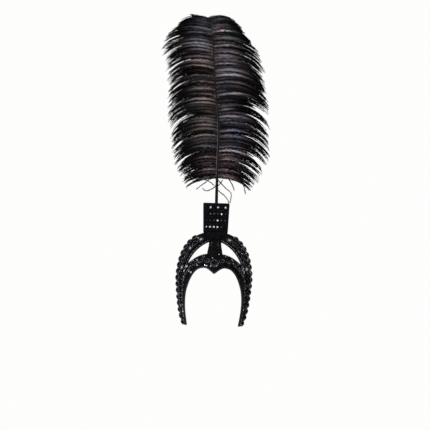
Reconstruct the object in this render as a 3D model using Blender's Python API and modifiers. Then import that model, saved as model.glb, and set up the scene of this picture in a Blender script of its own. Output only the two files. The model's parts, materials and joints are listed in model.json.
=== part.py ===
"""Feather headdress in black: a front band with a point over the brow, a padded rear band
that stands up like an arch, a strap and a flat feather holder over the crown, trims of cut
stones, and one tall ostrich plume.

Metres, +Z up. The wearer looks along -Y and +X is to the right in a front view. The origin
is the crown of the hollow that the head goes into, where the piece sits.
"""

import math

import bmesh
import bpy
import numpy as np
from mathutils import Matrix, Vector

MM = 0.001
CLEARANCE = 0.3 * MM  # between pieces that rest on each other
TRIM_CLEARANCE = 0.65 * MM  # under a trim on a curved piece

# Hollow inside the bands, an egg that is widest at its equator
HOLLOW_HALF_WIDTH = 77 * MM
HOLLOW_HALF_DEPTH = 95 * MM
HOLLOW_CROWN_HEIGHT = 110 * MM
HOLLOW_LOWER_HEIGHT = 207 * MM

# Bands
BAND_DROP = 212 * MM  # crown down to the tips of both bands
FRONT_WALL = 4 * MM
FRONT_EDGE_ROUNDING = 1.2 * MM
REAR_REACH = 31 * MM  # hollow out to the top of the rear band, at the crown
REAR_THICKNESS = 12 * MM
REAR_ROUNDING = 5 * MM
ROUNDING_LIMIT = 0.48  # of a side, so that the roundings at its two ends fit
REAR_CHAMFER = 27  # degrees each way that each rounded corner's facet spans
REAR_TIP_SETBACK = 4 * MM  # rear band's middle behind the origin, at the tips
REAR_CROWN_SETBACK = 9 * MM  # and at the crown
FACE_PIPING_RADIUS = 2.2 * MM
CROWN_PIPING_RADIUS = 2.2 * MM
CROWN_PIPING_TURN = 68  # degrees each way from the crown

# Strap and feather holder
STRAP_WIDTH = 31.5 * MM
STRAP_FOOT_WIDTH = 38 * MM
STRAP_WALL = 3.5 * MM
STRAP_LINES = 5
STRAP_FLARE_START = 0.7  # share of the strap's length from which it widens to its foot
STRAP_FOOT_RADIUS = 51 * MM  # of the front band's edge at the foot, seen from above
STRAP_WRAPPED = 0.4  # bend of a cross line at which the strap lies fully on the hollow
HOLDER_BOTTOM_WIDTH = 64 * MM
HOLDER_TOP_WIDTH = 69 * MM
HOLDER_HEIGHT = 74 * MM  # above the rear band's top
HOLDER_THICKNESS = 11 * MM
HOLDER_ROUNDING = 1.5 * MM
HOLDER_CORNER = 2.5 * MM
SOCKET_DEPTH = 55 * MM
SOCKET_SIDES = 16
HOLDER_STATIONS = 13  # across its foot, which follows the rear band
TOP_SAMPLES = 120  # places at which the rear band's top is read
TOP_SHARE = 0.3  # share of the rear band's half that lies under the holder

# Plume
STEM_RADIUS = 3.5 * MM
STEM_TOP_RADIUS = 2.7 * MM
STEM_SIDES = 12
STEM_BARE_LENGTH = 67 * MM  # holder's top up to the foot of the vane
PLUME_TIP_RADIUS = 0.9 * MM
RIB_SIDES = 8
RIB_STATIONS = 13
VANE_ROOT_LENGTH = 416 * MM  # along the rib, foot to tip
VANE_HALF_WIDTH = 137 * MM
VANE_DROOP = 36 * MM  # tips of the locks below their roots
VANE_ARCH = 15 * MM
VANE_HALF_DEPTH = 17 * MM
PLUME_LEAN = 41 * MM  # to the wearer's right at the tip
PLUME_BACK_BEND = 30 * MM
LOCKS_PER_SIDE = 18
LOCK_HALF_WIDTH = 16 * MM
LOCK_HALF_THICKNESS = 3.2 * MM
LOCK_LEAST = 0.35  # size of the shortest lock against a full one
LOCK_SWEEP = 108  # degrees of the half wave that carries a lock forward or back
LOCK_STEP = 0.02  # share of a lock over which its direction is read

# Finishing of the meshes
SHARP_TURN = 35  # degrees between two faces from which their edge is sharp
BEVEL_TURN = 50  # degrees between two faces from which their edge is bevelled
MERGE_GAP = 0.01 * MM
FLAT_TURN = 0.001  # radians between two faces below which they are one

# Trims and stones
TRIM_THICKNESS = 1.2 * MM
ROW_SAMPLES = 80  # points at which the length of a row of stones is measured
FRONT_TRIM_LINES = 3
STRAP_TRIM_LINES = 4
STONE_SINK = 0.8 * MM  # foot of each stone below the face of its trim
STONE_SIDES = 8
STONE_TABLE = 0.55  # flat top against the foot
OVAL_LENGTH = 13.5 * MM
OVAL_WIDTH = 9 * MM
OVAL_HEIGHT = 4.5 * MM
ROUND_DIAMETER = 5.4 * MM
ROUND_HEIGHT = 2.6 * MM
EDGE_TRIM_WIDTH = 5 * MM
CORNER_OVALS = 15  # a side, on the outer corner of the rear band
FACE_OVALS = 12  # a side, on the rear band's face
FACE_TRIM_SHARE = 0.62  # of the ovals' width
FRONT_OVALS = 12  # a side, on the front band
HOLDER_COLUMNS = 6
HOLDER_ROWS = 4
HOLDER_TRIM_WIDTH = 58 * MM
HOLDER_TRIM_HEIGHT = 68 * MM
STRAP_COLUMN_PITCH = 15.5 * MM
STRAP_ROWS_OF_STONES = 5
STRAP_TRIM_START = 0.45
STRAP_TRIM_SHARE = 0.72  # of the strap's width
STRAP_TRIM_END = 0.97
HOLDER_TRIM_MARGIN = 3 * MM
EDGE_ROW_REACH = 3.8 * MM  # of the outer corner's stones over the rear band's face
FACE_ROW_MARGIN = 0.7 * MM
CENTRE_STONE_DIAMETER = 17 * MM
CENTRE_STONE_HEIGHT = 6 * MM
CENTRE_SETTING_DIAMETER = 20 * MM
CENTRE_SETTING_HEIGHT = 2.4 * MM
CENTRE_STONE_GIRDLE = 0.35  # share of the height that stands upright
CENTRE_SETTING_GIRDLE = 0.6
CENTRE_STONE_SIDES = 12
CENTRE_SETTING_SIDES = 16
CENTRE_SETTING_TABLE = 0.9

FORWARD = Vector((0, -1, 0))
EQUATOR = -HOLLOW_CROWN_HEIGHT
HOLDER_Y = REAR_CROWN_SETBACK

# Trims along the bands, as shares of each band's half from the brow or crown to the tip
FRONT_TRIM_START = 0.055
FRONT_TRIM_END = 0.97
FRONT_TRIM_FACE_EDGE = 0.30
FRONT_TRIM_BACK_EDGE = 0.90
FRONT_OVAL_PLACE = 0.50
FRONT_ROUND_PLACE = 0.80
FRONT_FULL_WIDTH = 34 * MM
CENTRE_STONE_PLACE = 0.52
FACE_ROW_START = 0.09
FACE_ROW_END = 0.77
EDGE_ROW_START = 0.13
EDGE_ROW_END = 0.97
FACE_TRIM_STATIONS = 20
EDGE_TRIM_STATIONS = 24
STRAP_TRIM_STATIONS = 9
FIRST_LOCK = 0.02  # along the rib
LAST_LOCK = 0.97
# One lock of barbs, root to tip, as shares of its reach, half width and half thickness
# Columns: out, wide, thick
LOCK_ROWS = (
    (0.00, 0.60, 0.60),
    (0.28, 1.00, 1.00),
    (0.60, 1.00, 0.95),
    (0.84, 0.74, 0.70),
    (1.00, 0.12, 0.20),
)

# Half of the front band, brow to tip: the edge round the face and the edge behind it, each
# as a share of the turn from straight ahead to the seam with the rear band, and of the drop
# Columns: face_turn, face_drop, back_turn, back_drop
FRONT_ROWS = (
    (0.000, 0.357, 0.000, 0.130),
    (0.116, 0.310, 0.122, 0.130),
    (0.204, 0.290, 0.244, 0.132),
    (0.296, 0.292, 0.378, 0.144),
    (0.403, 0.313, 0.520, 0.170),
    (0.500, 0.366, 0.660, 0.208),
    (0.571, 0.431, 0.840, 0.262),
    (0.643, 0.505, 1.000, 0.340),
    (0.720, 0.582, 1.000, 0.462),
    (0.780, 0.667, 1.000, 0.590),
    (0.819, 0.745, 1.000, 0.698),
    (0.840, 0.830, 1.000, 0.802),
    (0.846, 0.915, 1.000, 0.896),
    (0.850, 0.965, 0.990, 0.948),
    (0.855, 1.000, 0.945, 0.995),
)
FRONT_STATIONS = 23
FRONT_STEP = 0.01  # share of the half over which its direction is read
FRONT_STRIPS = 3

# Half of the rear band, crown to tip: degrees round the hollow's outline, and the inner and
# outer edges as shares of the reach
# Columns: turn, inner, outer
REAR_ROWS = (
    (0.0, 0.335, 1.000),
    (12.0, 0.305, 1.035),
    (24.0, 0.255, 1.085),
    (36.0, 0.235, 1.075),
    (48.0, 0.235, 0.985),
    (58.0, 0.225, 0.880),
    (67.0, 0.180, 0.790),
    (76.0, 0.100, 0.715),
    (86.0, 0.075, 0.640),
    (94.0, 0.065, 0.570),
    (101.0, 0.065, 0.517),
    (107.0, 0.065, 0.474),
    (112.0, 0.065, 0.420),
    (116.0, 0.070, 0.340),
    (118.6, 0.080, 0.240),
    (119.6, 0.095, 0.185),
)
REAR_STATIONS = 26
REAR_STEP = 0.004

# The strap along its middle, top to foot: how far forward from the rear band's face to the
# front band's edge, its height over the hollow as a share of the rear band's reach, and how
# far each cross line has bent round to follow the front band's edge
# Columns: forward, stand_off, bent
STRAP_ROWS = (
    (0.00, 0.760, 0.00),
    (0.00, 0.450, 0.00),
    (0.02, 0.210, 0.00),
    (0.15, 0.060, 0.00),
    (0.28, 0.014, 0.15),
    (0.46, 0.000, 0.40),
    (0.64, 0.000, 0.70),
    (0.82, 0.000, 0.90),
    (1.00, 0.000, 1.00),
)
STRAP_STATIONS = 15
STRAP_STEP = 0.01

# The plume, foot to tip: place along the rib, reach of the locks to each side as a share of
# the half width, and how far their tips hang below their roots as a share of the droop
# Columns: root, left, right, droop
PLUME_ROWS = (
    (0.00, 0.63, 0.69, 0.60),
    (0.07, 0.69, 0.80, 0.75),
    (0.14, 0.80, 0.88, 0.85),
    (0.22, 0.81, 0.98, 0.90),
    (0.30, 0.88, 0.95, 0.95),
    (0.39, 0.90, 0.94, 1.00),
    (0.48, 0.88, 1.00, 1.03),
    (0.57, 0.90, 0.98, 1.05),
    (0.66, 0.88, 0.92, 1.10),
    (0.74, 0.88, 0.93, 1.10),
    (0.82, 0.87, 0.92, 1.15),
    (0.88, 0.93, 0.88, 1.20),
    (0.94, 0.94, 0.83, 1.30),
    (1.00, 0.75, 0.80, 1.50),
)
# The rib, foot to tip: sideways as a share of the lean, backward as a share of the back bend
# Columns: up, lean, back
RIB_ROWS = (
    (0.00, 0.03, 0.00),
    (0.15, 0.02, 0.02),
    (0.30, 0.03, 0.07),
    (0.45, 0.18, 0.16),
    (0.60, 0.34, 0.28),
    (0.75, 0.48, 0.44),
    (0.90, 0.64, 0.68),
    (0.97, 0.76, 0.88),
    (1.00, 1.00, 1.00),
)


def row_at(rows, share):
    """The table's row at a share of its length, on a smooth curve through its rows."""
    table = np.array(rows, float)
    padded = np.vstack([2 * table[0] - table[1], table, 2 * table[-1] - table[-2]])
    place = share * (len(table) - 1)
    row = min(int(place), len(table) - 2)
    t = place - row
    before, start, end, after = padded[row : row + 4]
    made = 0.5 * (
        2 * start
        + (end - before) * t
        + (2 * before - 5 * start + 4 * end - after) * t**2
        + (3 * start - before - 3 * end + after) * t**3
    )
    return made.tolist()


def clear_scene():
    for obj in list(bpy.data.objects):
        bpy.data.objects.remove(obj, do_unlink=True)


def collection(name, hidden=False):
    made = bpy.data.collections.new(name)
    made.hide_render = hidden
    bpy.context.scene.collection.children.link(made)
    return made


def material(name, colour, roughness, metallic=0.0):
    made = bpy.data.materials.new(name)
    made.use_nodes = True
    shader = made.node_tree.nodes["Principled BSDF"]
    shader.inputs["Base Color"].default_value = (*colour, 1.0)
    shader.inputs["Roughness"].default_value = roughness
    shader.inputs["Metallic"].default_value = metallic
    made.diffuse_color = (*colour, 1.0)
    return made


def add_object(name, data, finish=None):
    obj = bpy.data.objects.new(name, data)
    if finish:
        data.materials.append(finish)
        PARTS.objects.link(obj)
    else:
        obj.hide_render = True
        obj.display_type = "WIRE"
        CUTTERS.objects.link(obj)
    return obj


def add_bmesh(name, bm, finish=None):
    mesh = bpy.data.meshes.new(name)
    bmesh.ops.recalc_face_normals(bm, faces=bm.faces)
    bm.to_mesh(mesh)
    bm.free()
    mesh.shade_smooth()
    mesh.set_sharp_from_angle(angle=math.radians(SHARP_TURN))
    return add_object(name, mesh, finish)


def grid_mesh(name, rows, finish, facing=None):
    """An open surface through rows of points, facing away from the hollow's middle or as told."""
    bm = bmesh.new()
    grid = [[bm.verts.new(point) for point in row] for row in rows]
    for first, second in zip(grid, grid[1:]):
        for i in range(len(first) - 1):
            bm.faces.new((first[i], first[i + 1], second[i + 1], second[i]))
    bmesh.ops.recalc_face_normals(bm, faces=bm.faces)
    bm.faces.ensure_lookup_table()
    middle = bm.faces[len(bm.faces) // 2]
    outward = facing or middle.calc_center_median() - Vector((0, 0, EQUATOR))
    if middle.normal.dot(outward) < 0:
        bmesh.ops.reverse_faces(bm, faces=bm.faces)
    mesh = bpy.data.meshes.new(name)
    bm.to_mesh(mesh)
    bm.free()
    mesh.shade_smooth()
    return add_object(name, mesh, finish)


def loft(bm, rings, open_start=False):
    """Quads between closed rings of points, with the ends filled."""
    loops = [[bm.verts.new(point) for point in ring] for ring in rings]
    for first, second in zip(loops, loops[1:]):
        for i in range(len(first)):
            j = (i + 1) % len(first)
            bm.faces.new((first[i], first[j], second[j], second[i]))
    if not open_start:
        bm.faces.new(loops[0])
    bm.faces.new(loops[-1])


def mirror(obj):
    made = obj.modifiers.new("Mirror", "MIRROR")
    made.use_axis = (True, False, False)
    made.merge_threshold = 0.00001


def solidify(obj, thickness):
    made = obj.modifiers.new("Solidify", "SOLIDIFY")
    made.thickness = thickness
    made.offset = 1.0
    made.use_even_offset = True


def bevel(obj, width, segments=2):
    made = obj.modifiers.new("Bevel", "BEVEL")
    made.width = width
    made.segments = segments
    made.limit_method = "ANGLE"
    made.angle_limit = math.radians(BEVEL_TURN)


def boolean(obj, other, operation, overlapping=False):
    made = obj.modifiers.new("Boolean", "BOOLEAN")
    made.operation = operation
    made.solver = "EXACT"
    made.use_self = overlapping
    made.object = other


def tube(name, points, radius, finish, smoothness=2):
    """A round tube with filled ends along points."""
    data = bpy.data.curves.new(name, "CURVE")
    data.dimensions = "3D"
    data.bevel_depth = radius
    data.bevel_resolution = smoothness
    data.use_fill_caps = True
    spline = data.splines.new("POLY")
    spline.points.add(len(points) - 1)
    for place, point in zip(spline.points, points):
        place.co = (*point, 1.0)
    return add_object(name, data, finish)


def hollow_point(azimuth, height, offset=0.0):
    """Point on the hollow's wall, azimuth radians from straight ahead, moved out by offset."""
    rise = HOLLOW_CROWN_HEIGHT if height > EQUATOR else HOLLOW_LOWER_HEIGHT
    round_share = math.sqrt(max(0.0, 1 - ((height - EQUATOR) / rise) ** 2))
    point = Vector(
        (
            HOLLOW_HALF_WIDTH * round_share * math.sin(azimuth),
            -HOLLOW_HALF_DEPTH * round_share * math.cos(azimuth),
            height,
        )
    )
    return point + offset * hollow_normal(point)


def hollow_normal(point):
    rise = HOLLOW_CROWN_HEIGHT if point.z > EQUATOR else HOLLOW_LOWER_HEIGHT
    return Vector(
        (
            point.x / HOLLOW_HALF_WIDTH**2,
            point.y / HOLLOW_HALF_DEPTH**2,
            (point.z - EQUATOR) / rise**2,
        )
    ).normalized()


def outline_point(turn, offset):
    """Point of the hollow's front-view outline at turn radians from the crown, moved out."""
    rise = HOLLOW_CROWN_HEIGHT if turn < math.pi / 2 else HOLLOW_LOWER_HEIGHT
    outward = Vector(
        (math.sin(turn) / HOLLOW_HALF_WIDTH, 0, math.cos(turn) / rise)
    ).normalized()
    point = Vector((HOLLOW_HALF_WIDTH * math.sin(turn), 0, EQUATOR + rise * math.cos(turn)))
    return point + offset * outward, outward


def rear_middle(height):
    """Y of the rear band's middle plane at a height."""
    up = (height + BAND_DROP) / (BAND_DROP + REAR_REACH)
    return REAR_TIP_SETBACK + (REAR_CROWN_SETBACK - REAR_TIP_SETBACK) * up


def rear_face(height):
    return rear_middle(height) - REAR_THICKNESS / 2


def rear_frame(share):
    """Inner and outer edge points of the rear band at a share of its half, and outward."""
    turn, inner, outer = row_at(REAR_ROWS, share)
    low, outward = outline_point(math.radians(turn), inner * REAR_REACH)
    high, _ = outline_point(math.radians(turn), outer * REAR_REACH)
    return low, high, outward


def seam_azimuth(height):
    """Azimuth at which the hollow's wall reaches the face of the rear band."""
    rise = HOLLOW_CROWN_HEIGHT if height > EQUATOR else HOLLOW_LOWER_HEIGHT
    depth = HOLLOW_HALF_DEPTH * math.sqrt(max(0.01, 1 - ((height - EQUATOR) / rise) ** 2))
    seam = rear_face(height) - CLEARANCE
    return math.acos(max(-1.0, min(1.0, -seam / depth)))


def front_point(share, across, offset=0.0):
    """Point of the front band: share brow to tip, across 0 at the face and 1 behind."""
    face_turn, face_drop, back_turn, back_drop = row_at(FRONT_ROWS, share)
    turn = face_turn + (back_turn - face_turn) * across
    height = -BAND_DROP * (face_drop + (back_drop - face_drop) * across)
    return hollow_point(turn * seam_azimuth(height), height, offset)


def front_width(share):
    return (front_point(share, 1) - front_point(share, 0)).length


def front_across(share, distance):
    """Share of the way across that lies a distance behind the edge round the face."""
    edge = front_point(share, 0)
    along = front_point(min(1, share + FRONT_STEP), 0) - edge
    if share + FRONT_STEP > 1:
        along = edge - front_point(share - FRONT_STEP, 0)
    back = front_point(share, 1) - edge
    slant = along.cross(back).length / (along.length * back.length)
    return distance / (slant * back.length)


def front_edge_across(share):
    return front_across(share, 2 * FACE_PIPING_RADIUS + CLEARANCE)


def shares(count, start=0.0, end=1.0):
    return [start + (end - start) * i / (count - 1) for i in range(count)]


def front_band():
    rows = []
    for share in shares(FRONT_STATIONS):
        edge = front_edge_across(share)
        rows.append([front_point(share, v) for v in shares(FRONT_STRIPS + 1, edge)])
    obj = grid_mesh("front_band", rows, FABRIC)
    mirror(obj)
    solidify(obj, FRONT_WALL)
    bevel(obj, FRONT_EDGE_ROUNDING, segments=1)


def face_edge_piping():
    half = []
    for share in shares(FRONT_STATIONS):
        across = front_across(share, FACE_PIPING_RADIUS)
        half.append(front_point(share, across, FACE_PIPING_RADIUS))
    other = [Vector((-p.x, p.y, p.z)) for p in half[:0:-1]]
    tube("face_edge_piping", other + half, FACE_PIPING_RADIUS, PIPING)


def rear_section(low, high, outward):
    """Rounded rectangle from low to high, REAR_THICKNESS through."""
    height = (high - low).length
    rounding = min(REAR_ROUNDING, ROUNDING_LIMIT * height, ROUNDING_LIMIT * REAR_THICKNESS)
    middle = rear_middle((low.z + high.z) / 2)
    half = REAR_THICKNESS / 2 - rounding
    corners = (
        (height - rounding, half, 0),
        (rounding, half, 90),
        (rounding, -half, 180),
        (height - rounding, -half, 270),
    )
    ring = []
    for along, back, start in corners:
        for step in (45 - REAR_CHAMFER, 45 + REAR_CHAMFER):
            angle = math.radians(start + step)
            out = along + rounding * math.cos(angle)
            deep = back + rounding * math.sin(angle)
            ring.append(low + outward * out + Vector((0, middle + deep, 0)))
    return ring


def rear_band():
    bm = bmesh.new()
    loft(bm, [rear_section(*rear_frame(s)) for s in shares(REAR_STATIONS)], open_start=True)
    obj = add_bmesh("rear_band", bm, FABRIC)
    mirror(obj)


def crown_edge_piping():
    """Piping under the inner edge of the rear band, between the windows' outer corners."""
    stations = [s for s in shares(REAR_STATIONS) if row_at(REAR_ROWS, s)[0] < CROWN_PIPING_TURN]
    half = []
    for share in stations:
        low, _, outward = rear_frame(share)
        centre = low - outward * (CLEARANCE + CROWN_PIPING_RADIUS)
        half.append(centre + Vector((0, rear_middle(low.z), 0)))
    other = [Vector((-p.x, p.y, p.z)) for p in half[:0:-1]]
    tube("crown_edge_piping", other + half, CROWN_PIPING_RADIUS, PIPING)


def strap_point(share, side):
    """Point under the strap: share top to foot, side -1 to 1."""
    flare = max(0.0, share - STRAP_FLARE_START) / (1 - STRAP_FLARE_START)
    x = side * (STRAP_WIDTH + (STRAP_FOOT_WIDTH - STRAP_WIDTH) * flare) / 2
    forward, stand_off, bent = row_at(STRAP_ROWS, share)
    start = rear_face(0) - CLEARANCE
    foot = front_point(0, 1)
    end = foot.y + 2 * CLEARANCE
    y = start + (end - start) * forward
    drawn_in = 1 - math.sqrt(1 - (x * end / (foot.y * STRAP_FOOT_RADIUS)) ** 2)
    y *= 1 - bent * drawn_in
    wrapped = x * min(1.0, bent / STRAP_WRAPPED)
    inside = 1 - (wrapped / HOLLOW_HALF_WIDTH) ** 2 - (y / HOLLOW_HALF_DEPTH) ** 2
    height = EQUATOR + HOLLOW_CROWN_HEIGHT * math.sqrt(inside)
    return Vector((x, y, height + stand_off * REAR_REACH))


def strap_normal(share, side):
    along = strap_point(share + STRAP_STEP, side) - strap_point(share - STRAP_STEP, side)
    across = strap_point(share, side + STRAP_STEP) - strap_point(share, side - STRAP_STEP)
    return across.cross(along).normalized() * -1


def strap():
    rows = [[strap_point(s, side) for side in shares(STRAP_LINES, -1, 1)] for s in shares(STRAP_STATIONS)]
    obj = grid_mesh("centre_strap", rows, FABRIC)
    solidify(obj, STRAP_WALL)
    bevel(obj, FRONT_EDGE_ROUNDING, segments=1)


def rear_top(x):
    """Height of the rear band's top edge at x, for the part under the holder."""
    best = min(shares(TOP_SAMPLES, 0, TOP_SHARE), key=lambda s: abs(rear_frame(s)[1].x - abs(x)))
    return rear_frame(best)[1].z


def holder_top():
    return rear_top(0) + CLEARANCE + HOLDER_HEIGHT


def feather_holder():
    """Flat panel on the rear band's top, with a socket down its middle for the stem."""
    top = holder_top()
    foot, head = HOLDER_BOTTOM_WIDTH / 2, HOLDER_TOP_WIDTH / 2
    outline = [(x, rear_top(x) + CLEARANCE) for x in shares(HOLDER_STATIONS, -foot, foot)]
    outline += [(head, top - HOLDER_CORNER), (head - HOLDER_CORNER, top)]
    outline += [(HOLDER_CORNER - head, top), (-head, top - HOLDER_CORNER)]
    data = bpy.data.curves.new("holder_outline", "CURVE")
    data.dimensions = "2D"
    data.fill_mode = "BOTH"
    data.extrude = HOLDER_THICKNESS / 2
    spline = data.splines.new("POLY")
    spline.points.add(len(outline) - 1)
    for place, (x, z) in zip(spline.points, outline):
        place.co = (x, z, 0, 1)
    spline.use_cyclic_u = True
    curve = add_object("holder_outline", data)
    curve.rotation_euler = (math.pi / 2, 0, 0)
    curve.location = (0, HOLDER_Y, 0)
    obj = mesh_from_curve(curve, "feather_holder", FABRIC)
    bm = bmesh.new()
    made = bmesh.ops.create_cone(
        bm,
        cap_ends=True,
        segments=SOCKET_SIDES,
        radius1=STEM_RADIUS + CLEARANCE,
        radius2=STEM_RADIUS + CLEARANCE,
        depth=2 * SOCKET_DEPTH,
    )
    bmesh.ops.translate(bm, vec=(0, HOLDER_Y, top), verts=made["verts"])
    bevel(obj, HOLDER_ROUNDING)
    boolean(obj, add_bmesh("socket_cutter", bm), "DIFFERENCE")


def mesh_from_curve(curve, name, finish):
    """The curve as a closed mesh object, and the curve removed."""
    bpy.context.view_layer.update()
    graph = bpy.context.evaluated_depsgraph_get()
    mesh = bpy.data.meshes.new_from_object(curve.evaluated_get(graph))
    bm = bmesh.new()
    bm.from_mesh(mesh)
    bmesh.ops.remove_doubles(bm, verts=bm.verts, dist=MERGE_GAP)
    bmesh.ops.dissolve_limit(bm, angle_limit=FLAT_TURN, verts=bm.verts, edges=bm.edges)
    bm.to_mesh(mesh)
    bm.free()
    mesh.name = name
    mesh.materials.clear()
    made = add_object(name, mesh, finish)
    made.matrix_world = curve.matrix_world.copy()
    bpy.data.objects.remove(curve, do_unlink=True)
    return made


def frame_matrix(origin, along, normal):
    """A frame at origin with X along and Z along the normal."""
    z = normal.normalized()
    x = (along - along.dot(z) * z).normalized()
    y = z.cross(x)
    turned = Matrix((x, y, z)).transposed().to_4x4()
    return Matrix.Translation(origin) @ turned


def cut_stone(bm, matrix, length, width, height, girdle=0.0, sides=STONE_SIDES, table=STONE_TABLE):
    """A cut stone with one facet a side and a flat table, on an upright girdle if asked."""
    turns = [2 * math.pi * (i + 0.5) / sides for i in range(sides)]
    steps = [(0, 1.0), (girdle, 1.0), (1, table)] if girdle else [(0, 1.0), (1, table)]
    rings = []
    for lift, scale in steps:
        across, along = scale * width / 2, scale * length / 2
        ring = [(along * math.cos(a), across * math.sin(a), lift * height) for a in turns]
        rings.append([matrix @ Vector(point) for point in ring])
    loft(bm, rings)


def stone_trim(name, rows, stones, finish, facing=None):
    """A trim laid through rows of points, with the stones fused to it."""
    trim = grid_mesh(name, rows, finish, facing)
    solidify(trim, TRIM_THICKNESS)
    bm = bmesh.new()
    for stone in stones:
        cut_stone(bm, *stone)
    boolean(trim, add_bmesh(name + "_stones", bm), "UNION")


def even_places(point_at, start, end, count, extra=0.0):
    """Shares from start to end that part the row into equal lengths, at each one's middle."""
    fine = shares(ROW_SAMPLES, start, end)
    points = [point_at(share) for share in fine]
    lengths = [0.0]
    for one, other in zip(points, points[1:]):
        lengths.append(lengths[-1] + (other - one).length)
    wanted = [lengths[-1] * (i + 0.5 + extra) / count for i in range(count)]
    return [float(share) for share in np.interp(wanted, lengths, fine)]


def mirrored(points, side):
    return [Vector((side * p.x, p.y, p.z)) for p in points]


def seat(point, along, normal, side, lift):
    """Frame of a stone on a trim whose underside runs through point, on either side."""
    flip = Vector((side, 1, 1))
    foot = point + normal * (lift + TRIM_THICKNESS - STONE_SINK)
    return frame_matrix(foot * flip, along * flip, normal * flip)


def front_seat(share, across, side):
    base = front_point(share, across)
    ahead = front_point(min(1, share + FRONT_STEP), across)
    along = ahead - front_point(share - FRONT_STEP, across)
    return seat(base, along, hollow_normal(base), side, FRONT_WALL + TRIM_CLEARANCE)


def front_stones(side, word):
    """Ovals along the front band with a round stone beside each gap between them."""
    lift = FRONT_WALL + TRIM_CLEARANCE
    rows = []
    for share in shares(FRONT_STATIONS, FRONT_TRIM_START, FRONT_TRIM_END):
        across = shares(FRONT_TRIM_LINES, FRONT_TRIM_FACE_EDGE, FRONT_TRIM_BACK_EDGE)
        rows.append(mirrored([front_point(share, v, lift) for v in across], side))
    stones = []
    row = (FRONT_TRIM_START, FRONT_TRIM_END, FRONT_OVALS)
    for share in even_places(lambda s: front_point(s, FRONT_OVAL_PLACE), *row):
        size = min(1.0, front_width(share) / FRONT_FULL_WIDTH)
        oval = front_seat(share, FRONT_OVAL_PLACE, side)
        stones.append((oval, OVAL_LENGTH * size, OVAL_WIDTH * size, OVAL_HEIGHT * size))
    for share in even_places(lambda s: front_point(s, FRONT_ROUND_PLACE), *row, extra=0.5)[:-1]:
        across = ROUND_DIAMETER * min(1.0, front_width(share) / FRONT_FULL_WIDTH)
        dot = front_seat(share, FRONT_ROUND_PLACE, side)
        stones.append((dot, across, across, ROUND_HEIGHT))
    stone_trim(f"front_band_stones_{word}", rows, stones, STONE)


def face_row(share):
    """Middle and width of the room for stones on the rear band's face."""
    low, high, outward = rear_frame(share)
    lower = max(FACE_ROW_MARGIN, covered_height(share)) + FACE_ROW_MARGIN
    upper = (high - low).length - EDGE_ROW_REACH
    middle = low + outward * (lower + upper) / 2
    return middle, upper - lower, outward


def covered_height(share):
    """How much of the rear band's face the front band hides, from its inner edge out."""
    turn, inner, _ = row_at(REAR_ROWS, share)
    if turn < CROWN_PIPING_TURN:
        return 0.0
    covered = FRONT_WALL + TRIM_CLEARANCE + TRIM_THICKNESS + CLEARANCE
    return covered - inner * REAR_REACH


def rear_along(share):
    _, ahead, _ = rear_frame(min(1, share + REAR_STEP))
    _, behind, _ = rear_frame(share - REAR_STEP)
    return ahead - behind


def face_stones(side, word):
    """Ovals on the rear band's face, narrower where the front band covers it."""
    rows = []
    for share in shares(FACE_TRIM_STATIONS, FACE_ROW_START, FACE_ROW_END):
        middle, room, outward = face_row(share)
        half = outward * min(OVAL_WIDTH, room) * FACE_TRIM_SHARE / 2
        depth = Vector((0, rear_face(middle.z) - CLEARANCE, 0))
        rows.append(mirrored([middle - half + depth, middle + half + depth], side))
    stones = []
    row = (FACE_ROW_START, FACE_ROW_END, FACE_OVALS)
    for share in even_places(lambda s: face_row(s)[0], *row):
        middle, room, _ = face_row(share)
        point = middle + Vector((0, rear_face(middle.z), 0))
        across = min(OVAL_WIDTH, room)
        size = 0.5 + 0.5 * across / OVAL_WIDTH
        oval = seat(point, rear_along(share), FORWARD, side, CLEARANCE)
        stones.append((oval, OVAL_LENGTH * size, across, OVAL_HEIGHT * size))
    stone_trim(f"rear_face_stones_{word}", rows, stones, STONE, FORWARD)


def edge_seat(share):
    """Point and facing of the trim on the front outer corner of the rear band."""
    low, high, outward = rear_frame(share)
    rounding = min(REAR_ROUNDING, ROUNDING_LIMIT * (high - low).length)
    facing = (outward + FORWARD).normalized()
    corner = high - outward * rounding + Vector((0, rear_face(high.z) + rounding, 0))
    facet = rounding * math.cos(math.radians(REAR_CHAMFER))
    return corner + facing * (facet + TRIM_CLEARANCE), facing


def edge_stones(side, word):
    """Ovals round the outer corner of the rear band, facing outward and forward."""
    rows = []
    for share in shares(EDGE_TRIM_STATIONS, EDGE_ROW_START, EDGE_ROW_END):
        point, facing = edge_seat(share)
        half = facing.cross(rear_along(share)).normalized() * EDGE_TRIM_WIDTH / 2
        rows.append(mirrored([point - half, point + half], side))
    stones = []
    row = (EDGE_ROW_START, EDGE_ROW_END, CORNER_OVALS)
    for share in even_places(lambda s: edge_seat(s)[0], *row):
        point, facing = edge_seat(share)
        oval = seat(point, rear_along(share), facing, side, 0)
        stones.append((oval, OVAL_LENGTH, OVAL_WIDTH, OVAL_HEIGHT))
    stone_trim(f"rear_edge_stones_{word}", rows, stones, STONE)


def strap_stones():
    """Two columns of round stones down the strap."""
    lift = STRAP_WALL + TRIM_CLEARANCE
    rows = []
    for share in shares(STRAP_TRIM_STATIONS, STRAP_TRIM_START, STRAP_TRIM_END):
        sides = shares(STRAP_TRIM_LINES, -STRAP_TRIM_SHARE, STRAP_TRIM_SHARE)
        rows.append([strap_point(share, v) + strap_normal(share, v) * lift for v in sides])
    stones = []
    row = (STRAP_TRIM_START, STRAP_TRIM_END, STRAP_ROWS_OF_STONES)
    for share in even_places(lambda s: strap_point(s, 0), *row):
        for place in (-STRAP_COLUMN_PITCH / STRAP_WIDTH, STRAP_COLUMN_PITCH / STRAP_WIDTH):
            base = strap_point(share, place)
            along = strap_point(share + STRAP_STEP, place) - base
            stone = seat(base, along, strap_normal(share, place), 1, lift)
            stones.append((stone, ROUND_DIAMETER, ROUND_DIAMETER, ROUND_HEIGHT))
    stone_trim("strap_stones", rows, stones, STONE)


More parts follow.
